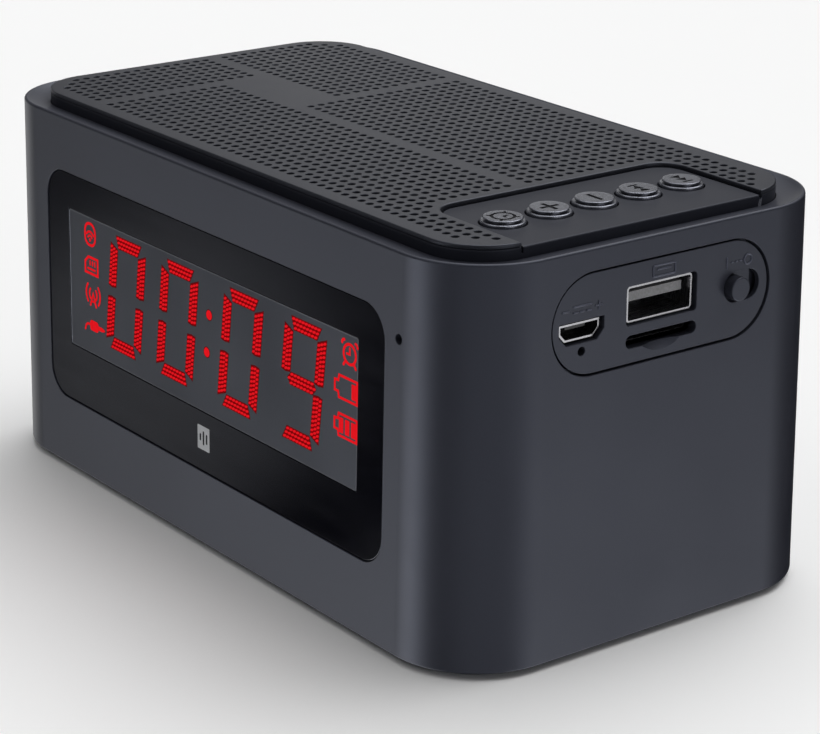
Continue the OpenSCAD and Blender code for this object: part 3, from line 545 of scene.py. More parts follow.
def housing_rings():
    """Section of the wall as rings: foot, rim, gutter, ledge and inner face."""
    foot, rim, gutter_steps = 0.5, 0.4, 8
    wide = CORNER_R + DRAFT
    inner = DECK_R + DECK_FIT
    top = CORNER_R - rim - 0.12
    run, fall = top - inner, RIM_Z - GUTTER_Z
    ledge_low = DECK_SEAT - LEDGE_T
    profile = arc(wide - foot, UNDER_Z + foot, foot, -90, 0)
    profile += arc(CORNER_R + spread(RIM_Z) - rim, RIM_Z - rim, rim, 0, 90, 6)
    profile.append((top, RIM_Z))
    for k in range(1, gutter_steps + 1):
        t = k / gutter_steps
        profile.append((top - run * t, RIM_Z - fall * math.sin(math.radians(90 * t)) ** 0.8))
    profile += [(inner, DECK_SEAT), (LEDGE_R, DECK_SEAT), (LEDGE_R, ledge_low)]
    profile += [(CORNER_R - WALL + spread(ledge_low), ledge_low), (wide - WALL, UNDER_Z)]
    return [body_ring(r, z) for r, z in profile]


def housing():
    """Body wall with its window, microphone hole and socket panel cut in."""
    made = Shape().loft(housing_rings(), close=True).mesh("housing_shell", [shell_plastic])
    at_panel = right_frame(PANEL_Z)
    deep, end_r = -12, PANEL_H / 2 - TINY
    window = pocket(lambda g: rounded(WINDOW_W, WINDOW_H, WINDOW_R, g, 12), POCKET_T, 0.09)
    through = prism(rounded(FACE_W + 3.4, FACE_H + 5, 2), deep, 0)
    mic_hole = pocket(lambda g: circle(MIC_R + g, 32), 6.0, 0.12)
    seat = pocket(lambda g: rounded(PANEL_W, PANEL_H, end_r, g, 24), POCKET_T, 0.1)
    # behind the panel, room for the sockets and for the switch
    ports = prism([(x - 5.05, y - 0.3) for x, y in rounded(29.8, 11, 4)], deep / 2, 0)
    lever = prism([(x + 16.28, y + 0.25) for x, y in rounded(6.4, 3.6, 0.1)], deep / 2, 0)
    cuts = [
        window.moved(front_frame(WINDOW_Z)),
        through.moved(front_frame(FACE_Z)),
        mic_hole.moved(front_frame(MIC_Z) @ shift(MIC_X, 0, 0)),
        seat.moved(at_panel @ shift(PANEL_Y, 0, 0)),
        ports.moved(at_panel),
        lever.moved(at_panel),
    ]
    return carve(made, cuts)


piece(housing(), "case", ["housing"])

# ---- Deck ----

KEY_X, KEY_PITCH = 52.5, 9.0
KEY_WELL_R, KEY_WELL_T = 3.75, 3.0


def key_y(k):
    """Where key k of the row stands along Y."""
    return (k - 2) * KEY_PITCH


def field_outline(inset=0.0):
    """Outline of the key field, which runs out past the deck's right edge."""
    x, y, r = FIELD_X + inset, FIELD_Y - inset, FIELD_R - inset
    right, steps = DECK_R + CORE_X + 3, 8
    turn = arc(x + r, y - r, r, 90, 180, steps) + arc(x + r, -y + r, r, 180, 270, steps)
    return [(u, FIELD_MID + v) for u, v in [(right, y)] + turn + [(right, -y)]]


def deck_block():
    """Deck with the key wells, the speaker openings and the groove round the keys."""
    edge, roof_t, inset = 0.3, 2.0, 4.2
    speaker_r = 19.0
    groove_w, groove_t = 0.4, 0.5
    profile = [(DECK_R, DECK_SEAT + 0.02)]
    profile += arc(DECK_R - edge, DECK_Z - edge, edge, 0, 90)
    rings = [body_ring(r, z) for r, z in profile]
    made = Shape().loft(rings, low_cap=True, high_cap=True).mesh("deck_block", [deck_plastic_painted_shade])
    r = DECK_R - inset
    room = rounded(2 * (CORE_X + r), 2 * (CORE_Y + r), r)
    at_top = shift(0, 0, DECK_Z)
    cuts = [prism(room, DECK_SEAT - 1, DECK_Z - roof_t)]
    for k in range(len(KEYS)):
        well = pocket(lambda g: circle(KEY_WELL_R + g, 56), KEY_WELL_T, 0.15)
        cuts.append(well.moved(shift(KEY_X, key_y(k), 0) @ at_top))
    for node in ("left_basket", "right_basket"):
        low, high = box_mm(node)
        place = shift((low.x + high.x) / 2, 0, 0)
        cuts.append(prism(circle(speaker_r, 64), -2 * roof_t, 1).moved(place @ at_top))
    band = field_outline() + field_outline(groove_w)[::-1]
    cuts.append(prism(band, -groove_t, 1).moved(at_top))
    for side in (-1, 1):
        y = FIELD_MID + side * (FIELD_Y - groove_w / 2)
        place = shift(CORE_X + DECK_R + 0.6, y, 0)
        cuts.append(prism(rounded(2, groove_w, 0.05, steps=1), -1, 1).moved(place @ at_top))
    return carve(made, cuts)


piece(deck_block(), "case", ["top_deck"])

# ---- Grille ----

HOLE_PITCH, HOLE_R = 2.128, 0.65
HOLE_SHIFT = -0.4  # of the whole pattern, along X
LAST_COLUMN, LAST_ROW = 57, 14  # columns count from the left, rows from the middle


def hole_at(c, k):
    """Whether the grille has a hole in column c and row k: all over the plate but
    for its corners, the key field and the plain bands of a stepped cross."""
    e = abs(k)
    first = {14: 2, 13: 1}.get(e, 0)
    last = 47 if e < 11 else 48 if e == 11 else 69 - e
    if not first <= c <= last:
        return False
    return (c < 8 and k < 2) or (c > 8 and k < -2) or (c < 18 and k > 2) or (c > 18 and k > -2)


def hole_centre(c, k):
    """Where the hole in column c and row k is, along X and Y."""
    return (c - LAST_COLUMN / 2) * HOLE_PITCH + HOLE_SHIFT, k * HOLE_PITCH


def grille_outline(inset):
    """The plate's outline with the key field taken out of its right end."""
    r = DECK_R - inset
    x, y = CORE_X, CORE_Y
    fy, fr, fx = FIELD_Y + inset, FIELD_R, FIELD_X - inset
    ends = [math.degrees(math.asin((FIELD_MID * side + fy - y) / r)) for side in (1, -1)]
    field = arc(fx + fr, fr - fy, fr, 270, 180, 8) + arc(fx + fr, fy - fr, fr, 180, 90, 8)
    return (
        arc(x, y, r, ends[0], 90, 16)
        + arc(-x, y, r, 90, 180, 16)
        + arc(-x, -y, r, 180, 270, 16)
        + arc(x, -y, r, 270, 360 - ends[1], 16)
        + [(u, FIELD_MID + v) for u, v in field]
    )


def inside(p, loop):
    """Whether a point lies inside a closed outline."""
    odd = False
    for i in range(len(loop)):
        (x1, y1), (x2, y2) = loop[i - 1], loop[i]
        if (y1 > p.y) != (y2 > p.y) and p.x < (x2 - x1) * (p.y - y1) / (y2 - y1) + x1:
            odd = not odd
    return odd


def grille():
    """Perforated plate: its top triangulated round every hole, with rounded
    rims, walls and outer edge."""
    sides, chamfer, edge = 14, 0.07, 0.22
    wide = HOLE_R + chamfer
    columns, rows = range(LAST_COLUMN + 1), range(-LAST_ROW, LAST_ROW + 1)
    spots = [(c, k) for k in rows for c in columns if hole_at(c, k)]
    holes = [hole_centre(c, k) for c, k in spots]
    taken = set(spots)
    top_edge = grille_outline(edge)
    flat = [Vector(p) for p in top_edge]
    loops = [range(len(flat))]
    for x, y in holes:
        loops.append(range(len(flat), len(flat) + sides))
        flat += [Vector((x + u, y + v)) for u, v in circle(wide, sides)]
    edges = [(i, loop[(i - loop[0] + 1) % len(loop)]) for loop in loops for i in loop]
    points, _, faces, _, _, _ = delaunay_2d_cdt(flat, edges, [], 0, 1e-6)

    def is_plate(face):
        mid = sum((points[i] for i in face), Vector((0, 0))) / len(face)
        c = round((mid.x - HOLE_SHIFT) / HOLE_PITCH + LAST_COLUMN / 2)
        k = round(mid.y / HOLE_PITCH)
        x, y = hole_centre(c, k)
        if (c, k) in taken and math.hypot(mid.x - x, mid.y - y) < HOLE_R + chamfer * 0.8:
            return False
        return inside(mid, top_edge)

    top = [f for f in faces if is_plate(f)]
    plate = Shape().add([(p.x, p.y, GRILLE_Z) for p in points], top)
    plate.add([(p.x, p.y, DECK_Z) for p in points], [tuple(reversed(f)) for f in top])
    walls = [(wide, GRILLE_Z), (HOLE_R, GRILLE_Z - chamfer), (HOLE_R, DECK_Z + chamfer), (wide, DECK_Z)]
    for x, y in holes:
        plate.loft([[(x + u, y + v, z) for u, v in circle(r, sides)] for r, z in walls])
    rim = [(-grow, z) for grow, z in reversed(soft_edge(GRILLE_Z, edge, 3))]
    rim += [(0.0, DECK_Z + 0.1), (edge, DECK_Z)]
    plate.loft([[(x, y, z) for x, y in grille_outline(inset)] for inset, z in rim])
    return settle(plate.mesh("grille_perforated", [grille_paint]), 40)


piece(grille(), "case", ["grille_plate"])

# ---- Clock face ----

BEZEL_GAP, BEZEL_T = 0.2, 1.5
FACE_SINK = 0.3  # how far behind the wall's face the display lies


def bezel():
    """Gloss window plate with a rounded rim and a rounded opening."""
    rim, lip = 0.1, 0.09
    w, h, r = WINDOW_W - 2 * BEZEL_GAP, WINDOW_H - 2 * BEZEL_GAP, WINDOW_R - BEZEL_GAP
    levels = [(0.0, -BEZEL_GAP - BEZEL_T)] + soft_edge(-BEZEL_GAP, rim, 5)
    plate = tower(lambda g: rounded(w, h, r, g, 12), levels).moved(front_frame(WINDOW_Z))
    opening = pocket(lambda g: rounded(FACE_W, FACE_H, 0.15, g, 3), 2 * BEZEL_T, lip)
    opening.moved(front_frame(FACE_Z) @ shift(0, 0, -BEZEL_GAP))
    return carve(plate.mesh("window_bezel", [bezel_gloss]), [opening])


piece(bezel(), "case", ["display_bezel"])


def film():
    """Grey display filter whose bevelled border is a lighter grey, a painted highlight."""
    gap, bevel = 0.1, 0.05
    w, h = FACE_W - 2 * gap, FACE_H - 2 * gap
    levels = [(0, -POCKET_T), (0, -FACE_SINK), (-bevel, bevel - FACE_SINK), (-0.2, -FACE_SINK)]
    rings = [[(x, y, z) for x, y in rounded(w, h, 0.3, grow, 2)] for grow, z in levels]
    made = Shape().loft(rings[:2], low_cap=True)
    # the bevelled border takes the lighter grey of the painted highlight
    made.loft(rings[1:], paint=1)
    made.add(rings[-1], [range(len(rings[-1]))])
    return settle(made.moved(front_frame(FACE_Z)).mesh("display_film", [film_grey, film_edge_painted_highlight]))


piece(film(), "case", ["display_face"])

DIGIT_X = (-24.5, -8.1, 10.9, 28.3)
DIGIT_MID, DIGIT_H, DIGIT_W, STROKE = 0.85, 20.8, 11.4, 2.4
COLON_X, COLON_MID, COLON_RISE = 1.35, 1.57, 3.3
SLANT = math.tan(math.radians(6.6))
LIT = {0: "abcdef", 9: "abcdfg"}  # the strokes of each digit, a at the top
LEVEL_STROKES = "adg"
SHOWN = (0, 0, 0, 9)


def stroke_outline(letter):
    """Outline of one stroke of a digit, centred on the digit and upright."""
    x, y, s = DIGIT_W / 2, DIGIT_H / 2, STROKE
    g = 0.95  # half the gap between the upper and the lower strokes
    top = [(-x + 1.7, y), (x - 1.7, y), (x - 2.7, y - 2.2), (-x + 2.7, y - 2.2)]
    right = [(x, y - 1.6), (x, g + 0.2), (x - s / 2, g), (x - s, g + 0.2), (x - s, y - 2.6)]
    middle = [(-x + 1.9, 0), (-x + 2.8, 1.05), (x - 2.8, 1.05)]
    middle += [(-px, -py) for px, py in middle]
    if letter == "g":
        return middle
    outline = top if letter in LEVEL_STROKES else right
    across = -1 if letter in "ef" else 1
    over = -1 if letter in "cde" else 1
    return [(across * px, over * py) for px, py in outline]


def span(outline, level, axis):
    """Where an outline starts and ends on the line where axis is level."""
    cuts = []
    for i in range(len(outline)):
        p, q = outline[i - 1], outline[i]
        if (p[axis] > level) != (q[axis] > level):
            t = (level - p[axis]) / (q[axis] - p[axis])
            cuts.append(p[1 - axis] + t * (q[1 - axis] - p[1 - axis]))
    return (min(cuts), max(cuts)) if len(cuts) > 1 else None


def dots_of(letter):
    """Centres of the lamp bars that fill a stroke, in three rows."""
    outline = stroke_outline(letter)
    level = letter in LEVEL_STROKES
    axis = 1 if level else 0
    low, high = min(p[axis] for p in outline), max(p[axis] for p in outline)
    centre = (low + high) / 2
    pitch, along = (0.74, 0.88) if level else (0.76, 0.72)
    margin = 0.42
    found = []
    for across in (centre + row * pitch for row in (-1, 0, 1)):
        reach = span(outline, across, axis)
        if reach is None:
            continue
        start, stop = reach[0] + margin, reach[1] - margin
        count = max(1, round((stop - start) / along) + 1)
        for k in range(count):
            at = start + (stop - start) * (k if count > 1 else 0.5) / max(count - 1, 1)
            found.append((at, across) if level else (across, at))
    return found


def slanted(x, y):
    """A point of an upright digit, leaned over."""
    return x + y * SLANT, y


def dome(x, y, rx, ry, base, height, paint, tilt=0.0, count=10):
    """Low round-topped lamp on an oval, which may be tilted."""
    c, s = math.cos(tilt), math.sin(tilt)
    oval = [(rx * u * c - ry * v * s, rx * u * s + ry * v * c) for u, v in circle(1.0, count)]
    levels = ((1.0, 0.0), (0.92, 0.6), (0.6, 0.92))
    rings = [[(x + g * u, y + g * v, base + height * rise) for u, v in oval] for g, rise in levels]
    return Shape().loft(rings, high_cap=True, low_cap=True, paint=paint)


def grown(outline, by):
    """Outline of a stroke moved outwards by a distance, in place on the film."""
    cx = sum(p[0] for p in outline) / len(outline)
    cy = sum(p[1] for p in outline) / len(outline)
    moved = []
    for px, py in outline:
        keep = 1 + by / math.hypot(px - cx, py - cy)
        moved.append(slanted(cx + (px - cx) * keep, cy + (py - cy) * keep))
    return moved


def digits():
    """Lit strokes: a faint painted glow round each, a glowing ground and the lamps on it."""
    base, root, halo_w = -FACE_SINK, 0.3, 0.2
    halo_z, glow_z, lamp_z = 0.012, 0.03, 0.09
    made = Shape()
    for x, value in zip(DIGIT_X, SHOWN):
        digit = Shape()
        for letter in LIT[value]:
            outline = stroke_outline(letter)
            # a faint band of painted glow round the stroke, on the film
            digit.join(prism(grown(outline, halo_w), base - root, base + halo_z))
            digit.join(prism(grown(outline, 0.0), base - root, base + glow_z).painted(1))
            half, tilt = (0.5, 15) if letter in LEVEL_STROKES else (0.46, 22)
            for u, v in dots_of(letter):
                lamp = dome(*slanted(u, v), half, 0.24, base, lamp_z, 2, math.radians(tilt))
                digit.join(lamp)
        made.join(digit.moved(shift(x, DIGIT_MID, 0)))
    # each dot of the colon sits on a wider disc of painted glow
    for side in (-COLON_RISE, COLON_RISE):
        x, y = slanted(COLON_X, side)
        for r, height, paint in ((0.98, halo_z, 0), (0.82, 0.12, 2)):
            made.join(dome(x, y + COLON_MID, r, r, base, height, paint, count=24))
    made.moved(front_frame(FACE_Z))
    return settle(made.mesh("display_digit_lamps", [halo_painted_glow, digit_glow, lamp_glow]))


piece(digits(), "case", ["display_digits"])


def icons():
    """Generic signs: sound sources on the left, alarm and battery on the right."""
    rise, bevel = 0.1, 0.06
    made = Shape()

    def draw(path, x, y, closed=False, width=0.5):
        made.join(bead([(x + u, y + v) for u, v in path], width, rise, closed))

    def fill(x, y, w, h, r):
        block = tower(lambda g: rounded(w, h, r, g, 3), [(0, -0.2), (0, rise * 0.6), (-bevel, rise)])
        made.join(block.moved(shift(x, y, 0)))

    # wireless sound: two arcs over a dot in an oval frame
    x, y = -36.2, 9.3
    draw(rounded(3.4, 3.9, 1.5, steps=6), x, y, True)
    draw(arc(0, -1.0, 1.5, 40, 140, 6), x, y, width=0.42)
    draw(arc(0, -1.0, 0.8, 35, 145, 5), x, y, width=0.36)
    made.join(dome(x, y - 1.0, 0.3, 0.3, 0, rise, 0))
    # memory card with its contacts
    x, y = -35.9, 3.7
    draw([(-2.1, -1.45), (2.1, -1.45), (2.1, 1.45), (-1.0, 1.45), (-2.1, 0.5)], x, y, True)
    for step in (-0.45, 0.35, 1.15):
        draw([(step, 0.15), (step, 0.75)], x, y, width=0.4)
    draw([(-1.2, -0.65), (1.2, -0.65)], x, y, width=0.4)
    # radio mast with waves
    x, y = -35.5, -2.0
    draw([(-0.95, -1.5), (0, 0.75), (0.95, -1.5)], x, y)
    draw([(-0.5, -0.75), (0.5, -0.75)], x, y, width=0.36)
    for side in (0, 180):
        for reach in (1.25, 2.35):
            draw(arc(0, 0.6, reach, side - 42, side + 42, 6), x, y, width=0.45)
    # plug on a lead
    x, y = -35.2, -7.2
    fill(x - 0.1, y, 2.7, 1.9, 0.5)
    draw([(1.3, 0), (2.6, 0)], x, y, width=0.8)
    draw([(2.9, 0), (3.2, 0)], x, y, width=0.5)
    draw([(-1.5, 0), (-2.3, 0), (-2.9, -0.4), (-3.2, -1.2)], x, y, width=0.42)

    # alarm clock
    x, y = 41.0, 9.2
    draw(circle(1.6, 28), x, y, True, 0.48)
    draw([(0, 0.95), (0, 0), (-0.75, 0)], x, y, width=0.4)
    for side in (-1, 1):
        draw(arc(side * 1.45, 1.5, 0.55, 45 - 45 * side, 135 - 45 * side, 4), x, y, width=0.5)
        draw([(side * 1.15, -1.35), (side * 1.6, -1.95)], x, y, width=0.5)
    # battery low and battery full
    for middle, bars in ((3.4, (42.2,)), (-2.8, (39.0, 40.6, 42.2))):
        shell_path = [
            (43.0, 1.8), (38.3, 1.8), (38.1, 0.9), (37.2, 0.85),
            (37.2, -0.85), (38.1, -0.9), (38.3, -1.8), (43.0, -1.8),
        ]
        draw(shell_path, 0, middle, True, 0.45)
        for bar_x in bars:
            fill(bar_x, middle, 1.1, 2.5, 0.1)
    made.moved(front_frame(FACE_Z) @ shift(0, 0, -FACE_SINK))
    return settle(made.mesh("display_signs", [lamp_glow]))


piece(icons(), "case", ["display_icons"])


def face_mark():
    """Plain printed tile under the display with three sound bars left open."""
    tile = tower(lambda g: rounded(3.6, 4.2, 0.15, g, 3), [(0, -0.1), (0, 0.02), (-0.04, 0.03)])
    place = front_frame(WINDOW_Z) @ shift(0, -15.0, -BEZEL_GAP)
    made = tile.moved(place).mesh("face_mark", [mark_ink])
    bars = [
        prism([(x + u, v) for u, v in rounded(0.5, h, 0.2, steps=3)], -1, 1).moved(place)
        for x, h in ((-0.95, 1.3), (0, 2.5), (0.95, 1.8))
    ]
    return carve(made, bars)


mark = face_mark()
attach(mark, "case")

# ---- Keys ----

KEY_LOW, KEY_TOP = (corner.z for corner in box_mm("key_plus"))
FLANGE_Z = DECK_Z - 2.95  # underside of the flange that keeps a key in its well


def key_signs():
    """Outlines of the signs sunk into the five key tops."""

    def bar(w, h, x=0.0, y=0.0, turn=0.0):
        c, d = math.cos(math.radians(turn)), math.sin(math.radians(turn))
        return [(x + u * c - v * d, y + u * d + v * c) for u, v in rounded(w, h, 0.1, steps=2)]

    def tri(x, way):
        points = [(x - 0.75 * way, -1.0), (x + 0.75 * way, 0), (x - 0.75 * way, 1.0)]
        return points if way > 0 else points[::-1]

    ticks = []
    for turn in (45, 135, 225, 315):
        a = math.radians(turn)
        ticks.append(bar(0.9, 0.45, 2.15 * math.cos(a), 2.15 * math.sin(a), turn))
    return {
        "plus": [bar(3.6, 0.72), bar(0.72, 3.5)],
        "minus": [bar(3.6, 0.72)],
        "previous": [tri(1.05, -1), tri(-0.45, -1), bar(0.45, 2.0, -1.5)],
        "next": [tri(-1.05, 1), tri(0.45, 1), bar(0.45, 2.0, 1.5)],
        "alarm": [bar(0.4, 1.1, 0, 0.5), bar(1.0, 0.4, 0.35, 0)] + ticks,
    }


def key(name, k):
    """Metallic key cap: stem, flange, grooved neck and a top with a sunk sign."""
    top, sunk = KEY_TOP, 0.14
    stem_r, flange_r, flange_t, neck_r, rim_r = 1.6, 4.35, 0.8, 3.55, 0.16
    profile = [(stem_r, KEY_LOW), (stem_r, FLANGE_Z), (flange_r, FLANGE_Z)]
    profile += [(flange_r, FLANGE_Z + flange_t), (neck_r, FLANGE_Z + flange_t)]
    profile += arc(neck_r - 0.25, top - 0.8, 0.25, 0, 90)
    profile += [(2.85, top - 0.58), (2.7, top - 0.52), (2.7, top - 0.38), (2.95, top - 0.31)]
    profile += arc(3.12 - rim_r, top - rim_r, rim_r, -30, 90, 6)
    profile += [(2.6, top - 0.015)]
    place = shift(KEY_X, key_y(k), 0)
    made = turned(profile, 72).moved(place).mesh(f"key_cap_{name}", [key_metal, key_ink])
    cuts = [prism(o, -sunk, 1).painted(1) for o in key_signs()[name]]
    if name == "alarm":
        section = ((2.0, 0.01 - sunk), (2.0, 1), (1.5, 1), (1.5, 0.01 - sunk))
        rings = [[(x, y, z) for x, y in circle(r, 40)] for r, z in section]
        cuts.append(Shape().loft(rings, close=True, paint=1))
    return carve(made, [c.moved(place @ shift(0, 0, top)) for c in cuts])


for k, name in enumerate(KEYS):
    piece(key(name, k), f"key_{name}_body", [f"key_{name}"])

# ---- Socket panel ----

USB = box_mm("usb_shell")
CHARGE = box_mm("charge_shell")
KNOB = box_mm("power_knob")
# Places on the panel: along it, and up from its middle
PORT_Y, SLOT_UP, LIGHT_UP = 0.2, -4.48, -3.98
USB_UP = USB[1].z - 5.7 / 2 - PANEL_Z  # its top is half a standard shell higher
CHARGE_Y = (CHARGE[0].y + CHARGE[1].y) / 2
CHARGE_UP = (CHARGE[0].z + CHARGE[1].z) / 2 - PANEL_Z
WELL_Y, WELL_W, WELL_H = 16.63, 7.3, 4.9
KNOB_Y, KNOB_UP, KNOB_R = 15.08, 0.25, 1.925
KNOB_FLANGE_X, KNOB_FLANGE_T = 66.98, 0.52
KNOB_FLANGE_SHIFT = -0.5  # it reaches further to the front
LEVER_TIP_X = 66.4  # end of the socket for the switch's lever


def charge_outline(w, h, cut, grow):
    """Charging socket's outline: a box with its two lower corners cut off."""
    x, y, c = w / 2 + grow, h / 2 + grow, cut
    return [(x, y), (-x, y), (-x, -y + c), (-x + c * 0.9, -y), (x - c * 0.9, -y), (x, -y + c)]


def thumb_scoop():
    """Round cutter that sinks in from over the card slot, for a thumb."""
    ball, rise, out, steps, last = 10.0, 3.93, 7.8, 24, 88.5
    first = math.degrees(math.asin(rise / ball))
    turns = [math.radians(-first - (last - first) * k / steps) for k in range(steps + 1)]
    scoop = turned([(ball * math.cos(a), ball * math.sin(a)) for a in turns], 128)
    place = shift(PORT_Y, SLOT_UP + rise, out)
    return scoop.moved(place @ Matrix.Rotation(math.radians(-90), 4, "X"))


def panel():
    """Long rounded plate with the openings of the sockets, the slot and the switch."""
    edge, deep, lip = 0.1, 4, 0.12
    w, h = PANEL_W - 2 * PANEL_GAP, PANEL_H - 2 * PANEL_GAP
    front = -PANEL_RECESS
    levels = [(0.0, front - PANEL_T)] + soft_edge(front, edge, 3)
    plate = tower(lambda g: rounded(w, h, h / 2 - TINY, g, 24), levels)
    plate.moved(right_frame(PANEL_Z) @ shift(PANEL_Y, 0, 0))
    well_r = WELL_H / 2 - TINY
    room = prism([(14.5 + x, y) for x, y in rounded(14.1, 5.9, 0.05, steps=1)], -3, -0.87)
    cuts = [
        (pocket(lambda g: rounded(14.1, 6.2, 0.6, g, 6), deep, lip), PORT_Y, USB_UP),
        (pocket(lambda g: charge_outline(8.7, 3.5, 1.6, g), deep, lip), CHARGE_Y, CHARGE_UP),
        (pocket(lambda g: rounded(14.2, 2.04, 1.01, g, 8), deep, lip), PORT_Y, SLOT_UP),
        (pocket(lambda g: circle(0.7 + g, 28), deep, 0.08), CHARGE_Y, LIGHT_UP),
        (pocket(lambda g: rounded(WELL_W, WELL_H, well_r, g, 16), deep, lip), WELL_Y, KNOB_UP),
        (room, 0, KNOB_UP),
        (thumb_scoop(), 0, 0),
    ]
    face = right_frame(PANEL_Z) @ shift(0, 0, front)
    shapes = [shape.moved(face @ shift(y, z, 0)) for shape, y, z in cuts]
    return carve(plate.mesh("socket_plate", [panel_plastic]), shapes)


piece(panel(), "case", ["socket_panel"])


def panel_marks():
    """Raised signs over the sockets and the switch, in a lighter grey that stands for their highlights.
    """
    made = Shape()
    rise = 0.2
    charge_sign, usb_sign, switch_sign = 2.65, 5.8, 4.35  # heights on the panel

    def draw(path, y, z, width=0.32, closed=False):
        made.join(bead([(y + u, z + v) for u, v in path], width, rise, closed))

    # direct current: a line over three dashes, between the poles of the plug
    draw([(-1.7, 0.5), (1.7, 0.5)], CHARGE_Y, charge_sign)
    for step in (-1.3, 0.0, 1.3):
        draw([(step - 0.35, -0.4), (step + 0.35, -0.4)], CHARGE_Y, charge_sign)
    draw([(-3.8, 0), (-2.6, 0)], CHARGE_Y, charge_sign)
    draw([(2.6, 0), (3.8, 0)], CHARGE_Y, charge_sign)
    draw([(3.2, -0.6), (3.2, 0.6)], CHARGE_Y, charge_sign)
    # socket outline with its tongue
    draw(rounded(4.4, 1.7, 0.25, steps=3), 0.4, usb_sign, closed=True)
    draw([(-1.3, 0.2), (1.3, 0.2)], 0.4, usb_sign)
    # on and off
    draw([(0, -0.8), (0, 0.8)], 13.3, switch_sign)
    draw(circle(0.8, 20), 17.7, switch_sign, closed=True)
    for step in (-0.9, 0.0, 0.9):
        draw([(step - 0.15, 0), (step + 0.15, 0)], 15.3, switch_sign, 0.28)
    made.moved(right_frame(PANEL_Z) @ shift(0, 0, -PANEL_RECESS))
    return settle(made.mesh("panel_signs", [sign_plastic_painted_highlight]))


signs = panel_marks()
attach(signs, "case")


def knob():
    """Round knob on its sliding flange, with a socketed shank behind."""
    tip, low, r, edge = KNOB[1].x, KNOB[0].x, KNOB_R, 0.22
    flange = KNOB_FLANGE_X
    place = shift(0, KNOB_Y, PANEL_Z + KNOB_UP)
    quarter = math.radians(90)
    along = place @ Matrix.Rotation(quarter, 4, "Z") @ Matrix.Rotation(quarter, 4, "X")
    cap = turned([(r, flange)] + arc(r - edge, tip - edge, edge, 0, 90), 56)
    cap.moved(place @ Matrix.Rotation(quarter, 4, "Y"))
    plate = prism(rounded(9.0, 5.6, 0.4, 0, 4), flange, flange + KNOB_FLANGE_T)
    plate.moved(shift(0, KNOB_FLANGE_SHIFT, 0) @ along)
    shank = prism(rounded(3.4, 3.0, 0.2, 0, 3), low, flange).moved(along)
    socket = prism(rounded(1.84, 1.54, 0.05, 0, 2), low - 1, LEVER_TIP_X).moved(along)
    return carve(cap.mesh("power_slider_knob", [panel_plastic]), [socket], [plate, shank])


piece(knob(), "power_slider", ["power_knob"])

# ---- Feet ----


def feet():
    """Four round feet, even about the middle."""
    made = Shape()
    high = box_mm("rubber_feet")[1]
    r, edge = 6.0, 0.5
    profile = [(2.0, 0.0)] + arc(r - edge, edge, edge, -90, 0) + [(r, high.z)]
    for side in (-1, 1):
        for end in (-1, 1):
            place = shift(side * (high.x - r), end * (high.y - r), 0)
            made.join(turned(profile, 48).moved(place))
    return settle(made.mesh("soft_feet", [rubber]))


piece(feet(), "case", ["rubber_feet"])

# ---- Studio ----

scene = bpy.context.scene
scene.view_settings.view_transform = "Standard"
scene.view_settings.look = "None"


def plain(name, color, rough):
    """Matt paper for the floor."""
    n = Nodes(name)
    n.link(n.ramp(n.noise(8), shade(color, 0.995), color), n.shader.inputs["Base Color"])
    n.link(n.spread(n.noise(20), rough, rough + 0.05), n.shader.inputs["Roughness"])
    n.shader.inputs["Specular IOR Level"].default_value = 0.0
    return n.material


PALE = 0.92  # of the floor, and of what the eye meets beyond it
FLOOR_HALF = 6000
corners = [(x * FLOOR_HALF, y * FLOOR_HALF) for x, y in ((-1, -1), (1, -1), (1, 1), (-1, 1))]
floor = prism(corners, -5, 0).mesh("studio_floor", [plain("studio floor", (PALE,) * 3, 0.9)])
floor.visible_glossy = False


def towards(azimuth, elevation):
    """Unit vector to a direction in degrees: azimuth 0 is the front, 90 the right."""
    a, e = math.radians(azimuth), math.radians(elevation)
    return Vector((math.sin(a) * math.cos(e), -math.cos(a) * math.cos(e), math.sin(e)))


# Soft lights all round: azimuth, elevation, the angles from there at which the light
# starts to fade and has gone, all in degrees, and strength. Those under the horizon only
# reach what is glossy, because the floor lets nothing but glossy rays through.
SKY = [
    (0, 90, 0, 65, 0.48),  # overhead
    (165, 62, 5, 40, 0.95),  # back right, above
    (-150, 62, 5, 40, 2.3),  # back left, above
    (170, 45, 5, 35, 0.45),
    (-127, 8, 2, 12, 0.8),  # sheen along the grille
    (-15, 45, 5, 35, 0.5),  # front left wall
    (-55, 2, 3, 25, 0.12),
    (-90, 5, 3, 28, 0.3),
    (-90, -18, 3, 24, 1.1),
    (-35, -45, 5, 28, 4.5),
    (-25, -18, 3, 20, 5),
    (-58, -18.5, 1, 4.5, 0.3),  # narrow gleam in the gloss window
    (5, 8, 3, 28, 0.3),  # front corner
    (53, -35, 5, 40, 0.8),
    (95, 8, 3, 28, 1.6),  # right wall
    (127, -25, 3, 25, 0.9),
    (127, -45, 5, 30, 3),
]


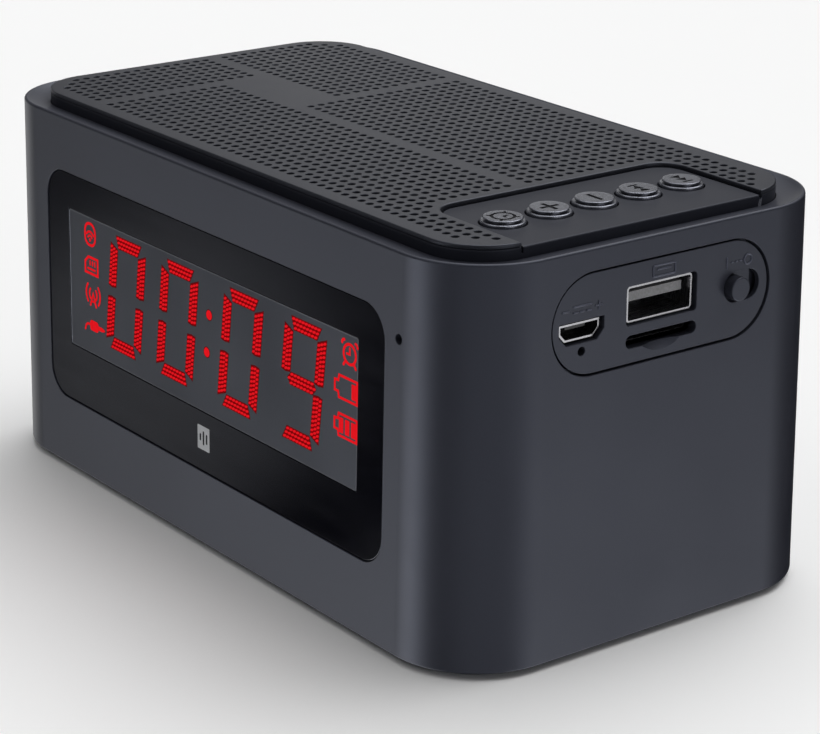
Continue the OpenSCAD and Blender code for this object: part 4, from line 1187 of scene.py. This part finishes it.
def sky():
    """World that adds up the soft lights, and looks plain and pale to the camera."""
    world = bpy.data.worlds.new("studio")
    world.use_nodes = True
    tree = world.node_tree
    new, link = tree.nodes.new, tree.links.new
    way = new("ShaderNodeTexCoord").outputs["Generated"]
    total = None
    for azimuth, elevation, full, reach, strength in SKY:
        aim = new("ShaderNodeVectorMath")
        aim.operation = "DOT_PRODUCT"
        aim.inputs[1].default_value = towards(azimuth, elevation)
        link(way, aim.inputs[0])
        fade = new("ShaderNodeMapRange")
        fade.interpolation_type = "SMOOTHSTEP"
        fade.inputs["From Min"].default_value = math.cos(math.radians(reach))
        fade.inputs["From Max"].default_value = math.cos(math.radians(full))
        fade.inputs["To Max"].default_value = strength
        link(aim.outputs["Value"], fade.inputs["Value"])
        if total is None:
            total = fade.outputs["Result"]
            continue
        both = new("ShaderNodeMath")
        link(total, both.inputs[0])
        link(fade.outputs["Result"], both.inputs[1])
        total = both.outputs["Value"]
    eye_ray = new("ShaderNodeLightPath").outputs["Is Camera Ray"]
    seen = new("ShaderNodeMix")
    seen.inputs["B"].default_value = PALE
    link(eye_ray, seen.inputs["Factor"])
    link(total, seen.inputs["A"])
    shine = tree.nodes["Background"]
    shine.inputs["Color"].default_value = (1, 1, 1, 1)
    link(seen.outputs["Result"], shine.inputs["Strength"])
    return world


scene.world = sky()

# ---- Camera ----

AZIMUTH, ELEVATION, ROLL = 52.99, 19.54, 0.45
ACROSS, RISE = 3.64, 22.16  # the aim, from the middle of the underside
DISTANCE = 471.08  # from the aim
LENS, SENSOR = 116.99, 36.0


def photographer():
    """Camera at the photograph's angle, with its aim across and up in its own frame."""
    back = towards(AZIMUTH, ELEVATION)
    a, roll = math.radians(AZIMUTH), math.radians(ROLL)
    right = Vector((math.cos(a), math.sin(a), 0))
    up = back.cross(right)
    c, s = math.cos(roll), math.sin(roll)
    right, up = c * right + s * up, c * up - s * right
    place = right * ACROSS + up * RISE + back * DISTANCE + Vector((0, 0, UNDER_Z))
    data = bpy.data.cameras.new("camera")
    data.lens, data.sensor_width, data.sensor_fit = LENS, SENSOR, "HORIZONTAL"
    data.clip_start, data.clip_end = 0.01, 50
    made = bpy.data.objects.new("camera", data)
    turn = Matrix((right, up, back)).transposed().to_4x4()
    made.matrix_world = Matrix.Translation(place * MM) @ turn
    scene.collection.objects.link(made)
    return made


scene.camera = photographer()
